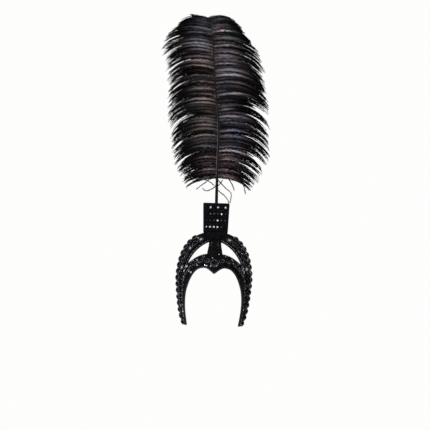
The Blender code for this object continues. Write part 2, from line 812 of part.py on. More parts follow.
def holder_stones():
    """Rows of bright stones on a thin trim that leaves the panel's edges plain."""
    front = HOLDER_Y - HOLDER_THICKNESS / 2 - CLEARANCE
    top = holder_top() - HOLDER_TRIM_MARGIN
    half = HOLDER_TRIM_WIDTH / 2
    rows = [
        [Vector((x, front, top - down)) for x in (-half, half)]
        for down in (0, HOLDER_TRIM_HEIGHT)
    ]
    stones = []
    for row in range(HOLDER_ROWS):
        height = top - HOLDER_TRIM_HEIGHT * (row + 0.5) / HOLDER_ROWS
        for column in range(HOLDER_COLUMNS):
            x = HOLDER_TRIM_WIDTH * ((column + 0.5) / HOLDER_COLUMNS - 0.5)
            foot = Vector((x, front - TRIM_THICKNESS + STONE_SINK, height))
            place = frame_matrix(foot, Vector((1, 0, 0)), FORWARD)
            stones.append((place, ROUND_DIAMETER, ROUND_DIAMETER, ROUND_HEIGHT))
    stone_trim("holder_stones", rows, stones, CRYSTAL, FORWARD)


def centre_stone():
    """The large stone over the brow's point, fused to its round setting."""
    across = CENTRE_STONE_PLACE
    base = front_point(0, across)
    along = Vector((1, 0, 0))
    normal = hollow_normal(base)
    foot = base + normal * (FRONT_WALL + CLEARANCE)
    place = frame_matrix(foot, along, normal)
    bm = bmesh.new()
    cut_stone(
        bm,
        place,
        CENTRE_SETTING_DIAMETER,
        CENTRE_SETTING_DIAMETER,
        CENTRE_SETTING_HEIGHT,
        girdle=CENTRE_SETTING_GIRDLE,
        sides=CENTRE_SETTING_SIDES,
        table=CENTRE_SETTING_TABLE,
    )
    obj = add_bmesh("centre_stone", bm, STONE)
    bm = bmesh.new()
    cut_stone(
        bm,
        frame_matrix(foot + normal * CENTRE_SETTING_HEIGHT / 2, along, normal),
        CENTRE_STONE_DIAMETER,
        CENTRE_STONE_DIAMETER,
        CENTRE_STONE_HEIGHT,
        girdle=CENTRE_STONE_GIRDLE,
        sides=CENTRE_STONE_SIDES,
    )
    boolean(obj, add_bmesh("centre_stone_cut", bm), "UNION")


def rib_point(share):
    up, lean, back = row_at(RIB_ROWS, share)
    foot = holder_top() + STEM_BARE_LENGTH + CLEARANCE
    bent = HOLDER_Y + PLUME_BACK_BEND * back
    return Vector((-PLUME_LEAN * lean, bent, foot + VANE_ROOT_LENGTH * up))


def rib_at_height(up):
    """Point of the rib at a share of its height."""
    ups = [row[0] for row in RIB_ROWS]
    place = float(np.interp(up, ups, shares(len(ups))))
    return rib_point(place)


def plume_stem():
    """Wrapped stem from the bottom of the socket up to the foot of the vane."""
    top = rib_point(0).z - CLEARANCE
    bottom = holder_top() - SOCKET_DEPTH + CLEARANCE
    bm = bmesh.new()
    made = bmesh.ops.create_cone(
        bm,
        cap_ends=True,
        segments=STEM_SIDES,
        radius1=STEM_RADIUS,
        radius2=STEM_TOP_RADIUS,
        depth=top - bottom,
    )
    bmesh.ops.translate(bm, vec=(0, HOLDER_Y, (top + bottom) / 2), verts=made["verts"])
    for vert in bm.verts:
        if vert.co.z > (top + bottom) / 2:
            vert.co.x += rib_point(0).x
    add_bmesh("plume_stem", bm, STEM)


def lock_sections(up, side, layer):
    """Rings of one lock of barbs, from the rib out to its drooping tip."""
    roots, left, right, droops = zip(*PLUME_ROWS)
    reach = VANE_HALF_WIDTH * float(np.interp(up, roots, left if side < 0 else right))
    droop = VANE_DROOP * float(np.interp(up, roots, droops))
    root = rib_at_height(up)
    size = min(1.0, LOCK_LEAST + reach / VANE_HALF_WIDTH)

    def centre(out):
        z = VANE_ARCH * size * math.sin(math.pi * out) - droop * out**2
        y = layer * VANE_HALF_DEPTH * size * math.sin(math.radians(LOCK_SWEEP) * out)
        return root + Vector((side * reach * out, y, z))

    rings = []
    for out, wide, thick in LOCK_ROWS:
        forward = (centre(out + LOCK_STEP) - centre(out - LOCK_STEP)).normalized()
        across = Vector((-forward.z, 0, forward.x)).normalized()
        through = forward.cross(across).normalized()
        half = across * LOCK_HALF_WIDTH * size * wide
        deep = through * LOCK_HALF_THICKNESS * thick
        middle = centre(out)
        rings.append([middle + half, middle + deep, middle - half, middle - deep])
    return rings


def plume():
    """Rib with a lock of barbs every few centimetres to each side, fused into one body."""
    bm = bmesh.new()
    rings = []
    for share in shares(RIB_STATIONS):
        point = rib_point(share)
        radius = STEM_TOP_RADIUS + (PLUME_TIP_RADIUS - STEM_TOP_RADIUS) * share
        turns = [2 * math.pi * i / RIB_SIDES for i in range(RIB_SIDES)]
        rings.append([point + radius * Vector((math.cos(a), math.sin(a), 0)) for a in turns])
    loft(bm, rings)
    obj = add_bmesh("ostrich_plume", bm, FEATHER)
    bm = bmesh.new()
    for side in (-1, 1):
        for i in range(LOCKS_PER_SIDE):
            up = FIRST_LOCK + (LAST_LOCK - FIRST_LOCK) * i / (LOCKS_PER_SIDE - 1)
            loft(bm, lock_sections(up, side, 1 if i % 2 else -1))
    boolean(obj, add_bmesh("plume_locks", bm), "UNION", overlapping=True)


clear_scene()
PARTS = collection("feather_headdress")
CUTTERS = collection("cutters", hidden=True)
FABRIC = material("black_fabric", (0.012, 0.012, 0.014), 0.75)
PIPING = material("satin_piping", (0.02, 0.022, 0.028), 0.4)
STONE = material("jet_stone", (0.01, 0.01, 0.014), 0.08)
CRYSTAL = material("crystal_stone", (0.75, 0.78, 0.85), 0.05, 0.6)
STEM = material("wrapped_stem", (0.008, 0.008, 0.008), 0.6)
FEATHER = material("ostrich_feather", (0.014, 0.012, 0.012), 0.65)

front_band()
face_edge_piping()
rear_band()
crown_edge_piping()
strap()
feather_holder()
plume_stem()
plume()
for side, word in ((-1, "left"), (1, "right")):
    front_stones(side, word)
    face_stones(side, word)
    edge_stones(side, word)
strap_stones()
holder_stones()
centre_stone()
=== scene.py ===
"""The looks of the feather headdress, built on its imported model.

The cloth pieces, trims, stones and plume follow the same named sizes as the solids that they
stand for. Metres, +Z up, the wearer looks along -Y.
"""

import math

import bpy
import numpy as np
from mathutils import Matrix, Vector
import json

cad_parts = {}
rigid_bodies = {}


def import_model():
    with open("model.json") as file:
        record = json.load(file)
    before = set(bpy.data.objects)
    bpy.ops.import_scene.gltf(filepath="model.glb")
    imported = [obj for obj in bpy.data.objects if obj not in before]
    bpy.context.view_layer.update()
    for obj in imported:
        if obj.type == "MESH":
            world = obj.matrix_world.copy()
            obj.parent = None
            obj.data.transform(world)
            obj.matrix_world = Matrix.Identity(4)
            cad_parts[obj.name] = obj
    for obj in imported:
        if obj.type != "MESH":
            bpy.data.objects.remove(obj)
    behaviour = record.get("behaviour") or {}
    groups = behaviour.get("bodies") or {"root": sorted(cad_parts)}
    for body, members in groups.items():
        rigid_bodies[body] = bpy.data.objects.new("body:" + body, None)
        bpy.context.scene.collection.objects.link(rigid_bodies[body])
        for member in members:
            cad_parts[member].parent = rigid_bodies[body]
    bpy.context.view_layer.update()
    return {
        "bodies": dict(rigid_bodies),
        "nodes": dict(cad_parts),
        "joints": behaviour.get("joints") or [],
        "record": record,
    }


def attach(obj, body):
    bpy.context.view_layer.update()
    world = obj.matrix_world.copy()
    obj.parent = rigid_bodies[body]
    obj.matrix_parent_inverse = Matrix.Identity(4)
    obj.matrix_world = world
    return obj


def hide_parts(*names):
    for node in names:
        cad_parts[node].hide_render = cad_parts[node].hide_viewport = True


MM = 0.001
CLEARANCE = 0.3 * MM
TRIM_CLEARANCE = 0.65 * MM

# The hollow and the bands, as in the solids
HOLLOW_HALF_WIDTH = 77 * MM
HOLLOW_HALF_DEPTH = 95 * MM
HOLLOW_CROWN_HEIGHT = 110 * MM
HOLLOW_LOWER_HEIGHT = 207 * MM
EQUATOR = -HOLLOW_CROWN_HEIGHT
BAND_DROP = 212 * MM
FRONT_WALL = 4 * MM
FRONT_FULL_WIDTH = 34 * MM
REAR_REACH = 31 * MM
REAR_THICKNESS = 12 * MM
REAR_ROUNDING = 5 * MM
REAR_CHAMFER = 27
ROUNDING_LIMIT = 0.48
REAR_TIP_SETBACK = 4 * MM
REAR_CROWN_SETBACK = 9 * MM
PIPING_RADIUS = 2.2 * MM
PIPING_PROUD = 0.2 * MM
PIPING_END = 4 * MM  # length over which an end closes
CROWN_PIPING_TURN = 68
STRAP_WIDTH = 31.5 * MM
STRAP_FOOT_WIDTH = 38 * MM
STRAP_WALL = 3.5 * MM
STRAP_FLARE_START = 0.7
STRAP_FOOT_RADIUS = 51 * MM
STRAP_WRAPPED = 0.4
HOLDER_BOTTOM_WIDTH = 64 * MM
HOLDER_TOP_WIDTH = 69 * MM
HOLDER_HEIGHT = 74 * MM
HOLDER_THICKNESS = 11 * MM
HOLDER_Y = REAR_CROWN_SETBACK
SOCKET_RADIUS = 3.8 * MM
FORWARD = Vector((0, -1, 0))

# Stones and trims
TRIM_THICKNESS = 1.2 * MM
OVAL_LENGTH = 13.5 * MM
OVAL_WIDTH = 9 * MM
OVAL_HEIGHT = 4.5 * MM
ROUND_DIAMETER = 5.4 * MM
ROUND_HEIGHT = 2.6 * MM
EDGE_OVALS = 15
FACE_OVALS = 12
FRONT_OVALS = 12
HOLDER_COLUMNS = 6
HOLDER_ROWS = 4
HOLDER_TRIM_WIDTH = 58 * MM
HOLDER_TRIM_HEIGHT = 68 * MM
HOLDER_TRIM_MARGIN = 3 * MM
STRAP_COLUMN_PITCH = 15.5 * MM
STRAP_ROWS_OF_STONES = 5
STRAP_TRIM_START, STRAP_TRIM_END = 0.45, 0.97
EDGE_ROW_REACH = 3.8 * MM
FACE_ROW_MARGIN = 0.7 * MM
FRONT_TRIM_START, FRONT_TRIM_END = 0.055, 0.97
FRONT_OVAL_PLACE, FRONT_ROUND_PLACE = 0.50, 0.80
FACE_ROW_START, FACE_ROW_END = 0.09, 0.77
EDGE_ROW_START, EDGE_ROW_END = 0.13, 0.97
CENTRE_STONE_PLACE = 0.52
CENTRE_STONE_DIAMETER = 17 * MM
CENTRE_STONE_HEIGHT = 6 * MM
CENTRE_SETTING_DIAMETER = 20 * MM
CENTRE_SETTING_HEIGHT = 2.4 * MM
RIM_BEAD = 1.6 * MM
FILL_BEAD = 1.9 * MM
FILL_PITCH = 2.7 * MM

# Plume
STEM_RADIUS = 3.5 * MM
STEM_BARE_LENGTH = 67 * MM
RIB_FOOT_RADIUS = 3.1 * MM
RIB_TIP_RADIUS = 1.1 * MM
VANE_ROOT_LENGTH = 416 * MM
PLUME_LEAN = 41 * MM
PLUME_BACK_BEND = 30 * MM
CLUMPS = 62  # a side, in each of two layers
BARBS_PER_CLUMP = 5
DOWN_BARBS = 150  # a side, short ones that fill the vane beside the rib
BARB_POINTS = 15
BARBULE_PITCH = 1.9 * MM
BARBULE_LENGTH = 11.5 * MM
LAYER_DEPTH = 15 * MM
DARK = 0.0014
# strength of the painted sheen: lighter streaks painted into the barbs' colour, standing in for light
# falling on them
PAINTED_SHEEN = {-1: 0.46, 1: 0.52}  # on each side
DOWN_BULK = 1.8  # width of the filling barbs against the others
CAST = 0.45  # strength of the dye's casts
BARBULE_WIDTHS = (0.76, 0.68, 0.18)  # millimetres, at root, middle and tip

# Columns: face_turn, face_drop, back_turn, back_drop
FRONT_ROWS = (
    (0.000, 0.357, 0.000, 0.130),
    (0.116, 0.310, 0.122, 0.130),
    (0.204, 0.290, 0.244, 0.132),
    (0.296, 0.292, 0.378, 0.144),
    (0.403, 0.313, 0.520, 0.170),
    (0.500, 0.366, 0.660, 0.208),
    (0.571, 0.431, 0.840, 0.262),
    (0.643, 0.505, 1.000, 0.340),
    (0.720, 0.582, 1.000, 0.462),
    (0.780, 0.667, 1.000, 0.590),
    (0.819, 0.745, 1.000, 0.698),
    (0.840, 0.830, 1.000, 0.802),
    (0.846, 0.915, 1.000, 0.896),
    (0.850, 0.965, 0.990, 0.948),
    (0.855, 1.000, 0.945, 0.995),
)
# Columns: turn, inner, outer
REAR_ROWS = (
    (0.0, 0.335, 1.000),
    (12.0, 0.305, 1.035),
    (24.0, 0.255, 1.085),
    (36.0, 0.235, 1.075),
    (48.0, 0.235, 0.985),
    (58.0, 0.225, 0.880),
    (67.0, 0.180, 0.790),
    (76.0, 0.100, 0.715),
    (86.0, 0.075, 0.640),
    (94.0, 0.065, 0.570),
    (101.0, 0.065, 0.517),
    (107.0, 0.065, 0.474),
    (112.0, 0.065, 0.420),
    (116.0, 0.070, 0.340),
    (118.6, 0.080, 0.240),
    (119.6, 0.095, 0.185),
)
# Columns: forward, stand_off, bent
STRAP_ROWS = (
    (0.00, 0.760, 0.00),
    (0.00, 0.450, 0.00),
    (0.02, 0.210, 0.00),
    (0.15, 0.060, 0.00),
    (0.28, 0.014, 0.15),
    (0.46, 0.000, 0.40),
    (0.64, 0.000, 0.70),
    (0.82, 0.000, 0.90),
    (1.00, 0.000, 1.00),
)
# Columns: up, lean, back
RIB_ROWS = (
    (0.00, 0.03, 0.00),
    (0.15, 0.02, 0.02),
    (0.30, 0.03, 0.07),
    (0.45, 0.18, 0.16),
    (0.60, 0.34, 0.28),
    (0.75, 0.48, 0.44),
    (0.90, 0.64, 0.68),
    (0.97, 0.76, 0.88),
    (1.00, 1.00, 1.00),
)
# Outline that the tips of the barbs reach, in millimetres. Columns: height, left, right
VANE_ROWS = (
    (150, 80, 90),
    (165, 92, 104),
    (187, 100, 111),
    (210, 114, 124),
    (232, 118, 132),
    (262, 121, 131),
    (290, 127, 126),
    (326, 133, 137),
    (350, 131, 133),
    (375, 136, 124),
    (400, 135, 115),
    (430, 139, 110),
    (460, 140, 108),
    (482, 143, 103),
    (499, 152, 95),
    (514, 157, 88),
    (530, 148, 72),
    (554, 131, 54),
    (571, 118, 42),
    (590, 84, 22),
)
# How the barbs leave the rib and how they end, in degrees above the level.
# Columns: up, left_rise, left_fall, right_rise, right_fall
BARB_ROWS = (
    (0.00, -2, -40, -2, -42),
    (0.10, 6, -52, 8, -52),
    (0.30, 13, -60, 13, -56),
    (0.50, 15, -58, 12, -52),
    (0.70, 14, -46, 12, -50),
    (0.85, 13, -29, 15, -38),
    (0.95, 12, -20, 18, -28),
    (1.00, 12, -18, 24, -28),
)
# Wider gaps between the tips, in millimetres. Columns: side, height, half_width, cut
GAP_ROWS = (
    (-1, 292, 7, 0.66),
    (-1, 236, 4, 0.78),
    (1, 318, 7, 0.62),
    (1, 205, 5, 0.72),
    (1, 268, 4, 0.80),
)
# Casts of the dye. Columns: side, up, out, spread_up, spread_out, red, green, blue
DYE_ROWS = (
    (-1, 0.92, 0.5, 0.14, 0.9, 0.70, 0.85, 1.50),
    (1, 0.92, 0.5, 0.14, 0.9, 0.70, 0.85, 1.40),
    (-1, 0.62, 0.4, 0.16, 0.4, 1.35, 0.98, 0.92),
    (-1, 0.36, 0.3, 0.16, 0.3, 1.12, 1.06, 0.84),
    (1, 0.70, 0.1, 0.20, 0.2, 1.30, 0.97, 1.12),
    (1, 0.45, 0.5, 0.22, 0.4, 0.92, 0.94, 1.30),
    (1, 0.22, 0.4, 0.08, 0.4, 1.12, 0.92, 1.40),
    (-1, 0.04, 0.4, 0.08, 0.8, 1.60, 0.85, 0.95),
    (1, 0.04, 0.4, 0.08, 0.8, 1.50, 0.85, 1.00),
)


def row_at(rows, share):
    """The table's row at a share of its length, on a smooth curve through its rows."""
    table = np.array(rows, float)
    padded = np.vstack([2 * table[0] - table[1], table, 2 * table[-1] - table[-2]])
    place = share * (len(table) - 1)
    row = min(int(place), len(table) - 2)
    t = place - row
    before, start, end, after = padded[row : row + 4]
    made = 0.5 * (
        2 * start
        + (end - before) * t
        + (2 * before - 5 * start + 4 * end - after) * t**2
        + (3 * start - before - 3 * end + after) * t**3
    )
    return made.tolist()


def shares(count, start=0.0, end=1.0):
    return [start + (end - start) * i / (count - 1) for i in range(count)]


def hollow_normal(point):
    rise = HOLLOW_CROWN_HEIGHT if point.z > EQUATOR else HOLLOW_LOWER_HEIGHT
    return Vector(
        (
            point.x / HOLLOW_HALF_WIDTH**2,
            point.y / HOLLOW_HALF_DEPTH**2,
            (point.z - EQUATOR) / rise**2,
        )
    ).normalized()


def hollow_point(azimuth, height, offset=0.0):
    rise = HOLLOW_CROWN_HEIGHT if height > EQUATOR else HOLLOW_LOWER_HEIGHT
    round_share = math.sqrt(max(0.0, 1 - ((height - EQUATOR) / rise) ** 2))
    point = Vector(
        (
            HOLLOW_HALF_WIDTH * round_share * math.sin(azimuth),
            -HOLLOW_HALF_DEPTH * round_share * math.cos(azimuth),
            height,
        )
    )
    return point + offset * hollow_normal(point)


def outline_point(turn, offset):
    rise = HOLLOW_CROWN_HEIGHT if turn < math.pi / 2 else HOLLOW_LOWER_HEIGHT
    outward = Vector(
        (math.sin(turn) / HOLLOW_HALF_WIDTH, 0, math.cos(turn) / rise)
    ).normalized()
    point = Vector((HOLLOW_HALF_WIDTH * math.sin(turn), 0, EQUATOR + rise * math.cos(turn)))
    return point + offset * outward, outward


def rear_middle(height):
    up = (height + BAND_DROP) / (BAND_DROP + REAR_REACH)
    return REAR_TIP_SETBACK + (REAR_CROWN_SETBACK - REAR_TIP_SETBACK) * up


def rear_face(height):
    return rear_middle(height) - REAR_THICKNESS / 2


def rear_frame(share):
    turn, inner, outer = row_at(REAR_ROWS, share)
    low, outward = outline_point(math.radians(turn), inner * REAR_REACH)
    high, _ = outline_point(math.radians(turn), outer * REAR_REACH)
    return low, high, outward


def seam_azimuth(height):
    rise = HOLLOW_CROWN_HEIGHT if height > EQUATOR else HOLLOW_LOWER_HEIGHT
    depth = HOLLOW_HALF_DEPTH * math.sqrt(max(0.01, 1 - ((height - EQUATOR) / rise) ** 2))
    seam = rear_face(height) - CLEARANCE
    return math.acos(max(-1.0, min(1.0, -seam / depth)))


def front_point(share, across, offset=0.0):
    face_turn, face_drop, back_turn, back_drop = row_at(FRONT_ROWS, share)
    turn = face_turn + (back_turn - face_turn) * across
    height = -BAND_DROP * (face_drop + (back_drop - face_drop) * across)
    return hollow_point(turn * seam_azimuth(height), height, offset)


def front_width(share):
    return (front_point(share, 1) - front_point(share, 0)).length


def front_across(share, distance):
    edge = front_point(share, 0)
    if share + 0.01 > 1:
        along = edge - front_point(share - 0.01, 0)
    else:
        along = front_point(share + 0.01, 0) - edge
    back = front_point(share, 1) - edge
    slant = along.cross(back).length / (along.length * back.length)
    return distance / (slant * back.length)


def strap_point(share, side):
    flare = max(0.0, share - STRAP_FLARE_START) / (1 - STRAP_FLARE_START)
    x = side * (STRAP_WIDTH + (STRAP_FOOT_WIDTH - STRAP_WIDTH) * flare) / 2
    forward, stand_off, bent = row_at(STRAP_ROWS, share)
    start = rear_face(0) - CLEARANCE
    foot = front_point(0, 1)
    end = foot.y + 2 * CLEARANCE
    y = start + (end - start) * forward
    drawn_in = 1 - math.sqrt(1 - (x * end / (foot.y * STRAP_FOOT_RADIUS)) ** 2)
    y *= 1 - bent * drawn_in
    wrapped = x * min(1.0, bent / STRAP_WRAPPED)
    inside = 1 - (wrapped / HOLLOW_HALF_WIDTH) ** 2 - (y / HOLLOW_HALF_DEPTH) ** 2
    height = EQUATOR + HOLLOW_CROWN_HEIGHT * math.sqrt(inside)
    return Vector((x, y, height + stand_off * REAR_REACH))


def strap_normal(share, side):
    along = strap_point(share + 0.01, side) - strap_point(share - 0.01, side)
    across = strap_point(share, side + 0.01) - strap_point(share, side - 0.01)
    return across.cross(along).normalized() * -1


def rear_top(x):
    best = min(shares(120, 0, 0.3), key=lambda s: abs(rear_frame(s)[1].x - abs(x)))
    return rear_frame(best)[1].z


def rib_point(share):
    up, lean, back = row_at(RIB_ROWS, share)
    return Vector(
        (
            -PLUME_LEAN * lean,
            HOLDER_Y + PLUME_BACK_BEND * back,
            VANE_FOOT + VANE_ROOT_LENGTH * up,
        )
    )


# Meshes -----------------------------------------------------------------------------------


def add_mesh(name, points, faces, finish, smooth=True, shade=None):
    """One piece from arrays of points and of faces that all have as many corners."""
    points = np.asarray(points, np.float32).reshape(-1, 3)
    faces = np.asarray(faces, np.int32)
    count, corners = faces.shape
    mesh = bpy.data.meshes.new(name)
    mesh.vertices.add(len(points))
    mesh.vertices.foreach_set("co", points.ravel())
    mesh.loops.add(count * corners)
    mesh.loops.foreach_set("vertex_index", faces.ravel())
    mesh.polygons.add(count)
    mesh.polygons.foreach_set("loop_start", np.arange(0, count * corners, corners, dtype=np.int32))
    mesh.polygons.foreach_set("use_smooth", np.full(count, smooth))
    mesh.update(calc_edges=True)
    if shade is not None:
        layer = mesh.color_attributes.new("shade", "FLOAT_COLOR", "POINT")
        colours = np.ones((len(points), 4), np.float32)
        colours[:, :3] = np.asarray(shade, np.float32).reshape(len(points), -1)
        layer.data.foreach_set("color", colours.ravel())
    mesh.materials.append(finish)
    obj = bpy.data.objects.new(name, mesh)
    bpy.context.scene.collection.objects.link(obj)
    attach(obj, "root")
    return obj


def skin_faces(rows, columns, wrap=True):
    """Quads over a grid of rows by columns, closed round the columns if wrap."""
    faces = []
    last = columns if wrap else columns - 1
    for i in range(rows - 1):
        for j in range(last):
            k = (j + 1) % columns
            faces.append((i * columns + j, i * columns + k, (i + 1) * columns + k, (i + 1) * columns + j))
    return faces


def sleeve(name, rings, finish, shade=None):
    """A closed skin through rings of points, with its two ends drawn in to a point each."""
    rings = [list(ring) for ring in rings]
    if shade is not None:
        shade = np.concatenate([shade[:1], shade[:1], shade, shade[-1:], shade[-1:]])
    columns = len(rings[0])
    for index, place in ((0, 0), (-1, len(rings))):
        ring = rings[index]
        middle = sum(ring, Vector()) / columns
        for share in (0.6, 0.0) if index == -1 else (0.6, 0.0):
            drawn = [middle + (point - middle) * share for point in ring]
            if index == -1:
                rings.append(drawn)
            else:
                rings.insert(0, drawn)
    points = [tuple(point) for ring in rings for point in ring]
    return add_mesh(name, points, skin_faces(len(rings), columns), finish, True, shade)


def scatter(name, base, places, finish, smooth=False):
    """Copies of a small mesh at many places, each a matrix that also holds its size."""
    points, faces = base
    points = np.asarray(points, float)
    faces = np.asarray(faces, int)
    hold = np.array([np.array(place) for place in places])
    spread = np.einsum("nij,kj->nki", hold[:, :3, :3], points) + hold[:, None, :3, 3]
    shifted = faces[None] + (np.arange(len(places)) * len(points))[:, None, None]
    return add_mesh(name, spread.reshape(-1, 3), shifted.reshape(-1, 3), finish, smooth)


def bead_base(around=8, up=4):
    """A small ball of triangles, one across."""
    points = [(0, 0, -0.5)]
    for i in range(1, up):
        tilt = math.pi * i / up
        for j in range(around):
            turn = 2 * math.pi * j / around
            points.append(
                (
                    0.5 * math.sin(tilt) * math.cos(turn),
                    0.5 * math.sin(tilt) * math.sin(turn),
                    -0.5 * math.cos(tilt),
                )
            )
    points.append((0, 0, 0.5))
    faces = []
    for j in range(around):
        k = (j + 1) % around
        faces.append((0, 1 + k, 1 + j))
        for i in range(up - 2):
            a, b = 1 + i * around, 1 + (i + 1) * around
            faces += [(a + j, a + k, b + k), (a + j, b + k, b + j)]
        a = 1 + (up - 2) * around
        faces.append((a + j, a + k, len(points) - 1))
    return points, faces


def cut_base(sides=12):
    """A cut stone one across and one high: girdle, two rows of facets and a table."""
    rings = ((0.0, 1.0, 0.0), (0.26, 1.0, 0.0), (0.66, 0.84, 0.5), (1.0, 0.56, 0.0))
    points = []
    for lift, scale, shift in rings:
        for i in range(sides):
            turn = 2 * math.pi * (i + shift) / sides
            points.append((0.5 * scale * math.cos(turn), 0.5 * scale * math.sin(turn), lift))
    points += [(0, 0, 1.0), (0, 0, 0)]
    foot = len(points) - 1
    faces = []
    for i in range(sides):
        j = (i + 1) % sides
        g, b, c, d = (ring * sides for ring in range(4))
        faces += [(g + i, g + j, b + j), (g + i, b + j, b + i)]
        faces += [(b + i, b + j, c + i), (b + j, c + j, c + i)]
        faces += [(c + i, c + j, d + j), (c + i, d + j, d + i)]
        faces += [(d + i, d + j, foot - 1), (g + j, g + i, foot)]
    return points, faces


def frame_matrix(origin, along, normal):
    z = normal.normalized()
    x = (along - along.dot(z) * z).normalized()
    y = z.cross(x)
    return Matrix.Translation(origin) @ Matrix((x, y, z)).transposed().to_4x4()


def sized(matrix, length, width, height):
    return matrix @ Matrix.Diagonal((length, width, height, 1))


def mirrored(matrix):
    """The frame on the other side of the middle plane, kept right-handed."""
    flip = Vector((-1, 1, 1))
    origin, along, normal = matrix.translation, matrix.col[0].xyz, matrix.col[2].xyz
    return frame_matrix(origin * flip, along * flip, normal * flip)


def even_places(point_at, start, end, count, extra=0.0):
    fine = shares(80, start, end)
    points = [point_at(share) for share in fine]
    lengths = [0.0]
    for one, other in zip(points, points[1:]):
        lengths.append(lengths[-1] + (other - one).length)
    wanted = [lengths[-1] * (i + 0.5 + extra) / count for i in range(count)]
    return [float(share) for share in np.interp(wanted, lengths, fine)]


# Materials --------------------------------------------------------------------------------


class Finish:
    """A procedural material under construction."""

    def __init__(self, name, **settings):
        self.made = bpy.data.materials.new(name)
        self.made.use_nodes = True
        self.tree = self.made.node_tree
        self.shader = self.tree.nodes["Principled BSDF"]
        for socket, value in settings.items():
            self.shader.inputs[socket.replace("_", " ")].default_value = value

    def node(self, kind, links=(), **values):
        made = self.tree.nodes.new(kind)
        for name, value in values.items():
            if name in made.bl_rna.properties:
                setattr(made, name, value)
            else:
                made.inputs[name.replace("_", " ")].default_value = value
        for socket, source in dict(links).items():
            self.link(source, made.inputs[socket])
        return made

    def link(self, source, target):
        self.tree.links.new(source, target)

    def place(self):
        return self.node("ShaderNodeTexCoord").outputs["Object"]

    def noise(self, scale, detail=4.0, roughness=0.55):
        return self.node(
            "ShaderNodeTexNoise",
            {"Vector": self.place()},
            Scale=scale,
            Detail=detail,
            Roughness=roughness,
        ).outputs["Fac"]

    def ramp(self, source, stops):
        made = self.node("ShaderNodeValToRGB", {"Fac": source})
        ramp = made.color_ramp
        while len(ramp.elements) < len(stops):
            ramp.elements.new(0.5)
        for element, (place, colour) in zip(ramp.elements, stops):
            element.position = place
            element.color = (*colour, 1) if len(colour) == 3 else colour
        return made.outputs["Color"]

    def colour(self, source, stops):
        self.link(self.ramp(source, stops), self.shader.inputs["Base Color"])

    def shaded(self, source):
        """Base colour from the mesh's own shade times a source."""
        shade = self.node("ShaderNodeAttribute", attribute_name="shade").outputs["Color"]
        mix = self.node("ShaderNodeMix", data_type="RGBA", blend_type="MULTIPLY")
        mix.inputs["Factor"].default_value = 1.0
        self.link(shade, mix.inputs[6])
        self.link(source, mix.inputs[7])
        self.link(mix.outputs[2], self.shader.inputs["Base Color"])

    def roughness(self, source, low, high):
        made = self.node("ShaderNodeMapRange", {"Value": source})
        made.inputs["To Min"].default_value = low
        made.inputs["To Max"].default_value = high
        self.link(made.outputs["Result"], self.shader.inputs["Roughness"])

    def bump(self, source, distance, strength=1.0, before=None):
        made = self.node("ShaderNodeBump", {"Height": source}, Strength=strength, Distance=distance)
        if before:
            self.link(before, made.inputs["Normal"])
        self.link(made.outputs["Normal"], self.shader.inputs["Normal"])
        return made.outputs["Normal"]

    def wave(self, scale, direction, distortion=0.6):
        return self.node(
            "ShaderNodeTexWave",
            {"Vector": self.place()},
            wave_type="BANDS",
            bands_direction=direction,
            Scale=scale,
            Distortion=distortion,
            Detail=1.5,
        ).outputs["Fac"]


def cloth_finish():
    made = Finish("black_cloth", Sheen_Weight=0.02, Sheen_Roughness=0.4, Specular_IOR_Level=0.05)
    made.colour(made.noise(90), [(0.3, (0.0015, 0.0015, 0.002)), (0.75, (0.007, 0.007, 0.009))])
    made.roughness(made.noise(240), 0.6, 0.9)
    low = made.bump(made.noise(45, 3), 0.0009, 0.5)
    weave = made.node(
        "ShaderNodeMath",
        operation="MULTIPLY",
        links={0: made.wave(390, "DIAGONAL"), 1: made.wave(390, "Z")},
    ).outputs[0]
    made.bump(weave, 0.00025, 0.8, low)
    return made.made


def thread_finish():
    made = Finish("sewing_thread", Specular_IOR_Level=0.5)
    made.colour(made.noise(400), [(0.3, (0.008, 0.008, 0.009)), (0.8, (0.022, 0.022, 0.025))])
    made.roughness(made.noise(600), 0.3, 0.5)
    made.bump(made.wave(1500, "DIAGONAL", 0.3), 0.0001, 0.6)
    return made.made


def satin_finish():
    made = Finish("satin", Sheen_Weight=0.02, Specular_IOR_Level=0.22)
    made.colour(made.noise(60), [(0.3, (0.004, 0.005, 0.007)), (0.8, (0.014, 0.016, 0.021))])
    made.roughness(made.noise(300), 0.36, 0.52)
    low = made.bump(made.noise(110, 5), 0.0007, 0.6)
    made.bump(made.wave(520, "DIAGONAL", 0.3), 0.00012, 0.5, low)
    return made.made


def stone_finish(name, dark, light, rough, metallic, gloss=0.5):
    made = Finish(name, Metallic=metallic, Specular_IOR_Level=gloss)
    made.colour(made.noise(70, 1), [(0.35, dark), (0.7, light)])
    made.roughness(made.noise(500, 6), rough, rough + 0.09)
    made.bump(made.noise(900, 3), 0.00003, 0.3)
    return made.made


def feather_finish():
    """Dyed barbs, near black; their casts and their painted sheen highlights come with the shade of each
    point.
    """
    made = Finish("ostrich_barbs", Specular_IOR_Level=0.06)
    cast = made.ramp(
        made.noise(16, 2),
        [
            (0.32, (0.75, 0.85, 1.0)),
            (0.46, (1.0, 0.90, 1.0)),
            (0.56, (1.25, 1.0, 0.95)),
            (0.68, (0.9, 1.0, 1.05)),
        ],
    )
    made.shaded(cast)
    made.roughness(made.noise(400, 3), 0.42, 0.62)
    return made.made


def stem_finish():
    made = Finish("thread_wrap", Specular_IOR_Level=0.12)
    made.colour(made.noise(200), [(0.3, (0.002, 0.002, 0.002)), (0.8, (0.008, 0.008, 0.009))])
    made.roughness(made.noise(300), 0.6, 0.85)
    made.bump(made.wave(900, "Z", 0.5), 0.0002, 0.7)
    return made.made


def rib_finish():
    made = Finish("rib_horn", Specular_IOR_Level=0.15)
    grain = made.ramp(made.noise(150), [(0.3, (0.7, 0.7, 0.7)), (0.8, (1.2, 1.15, 1.15))])
    made.shaded(grain)
    made.roughness(made.noise(350), 0.4, 0.6)
    made.bump(made.noise(500, 5), 0.0001, 0.5)
    return made.made


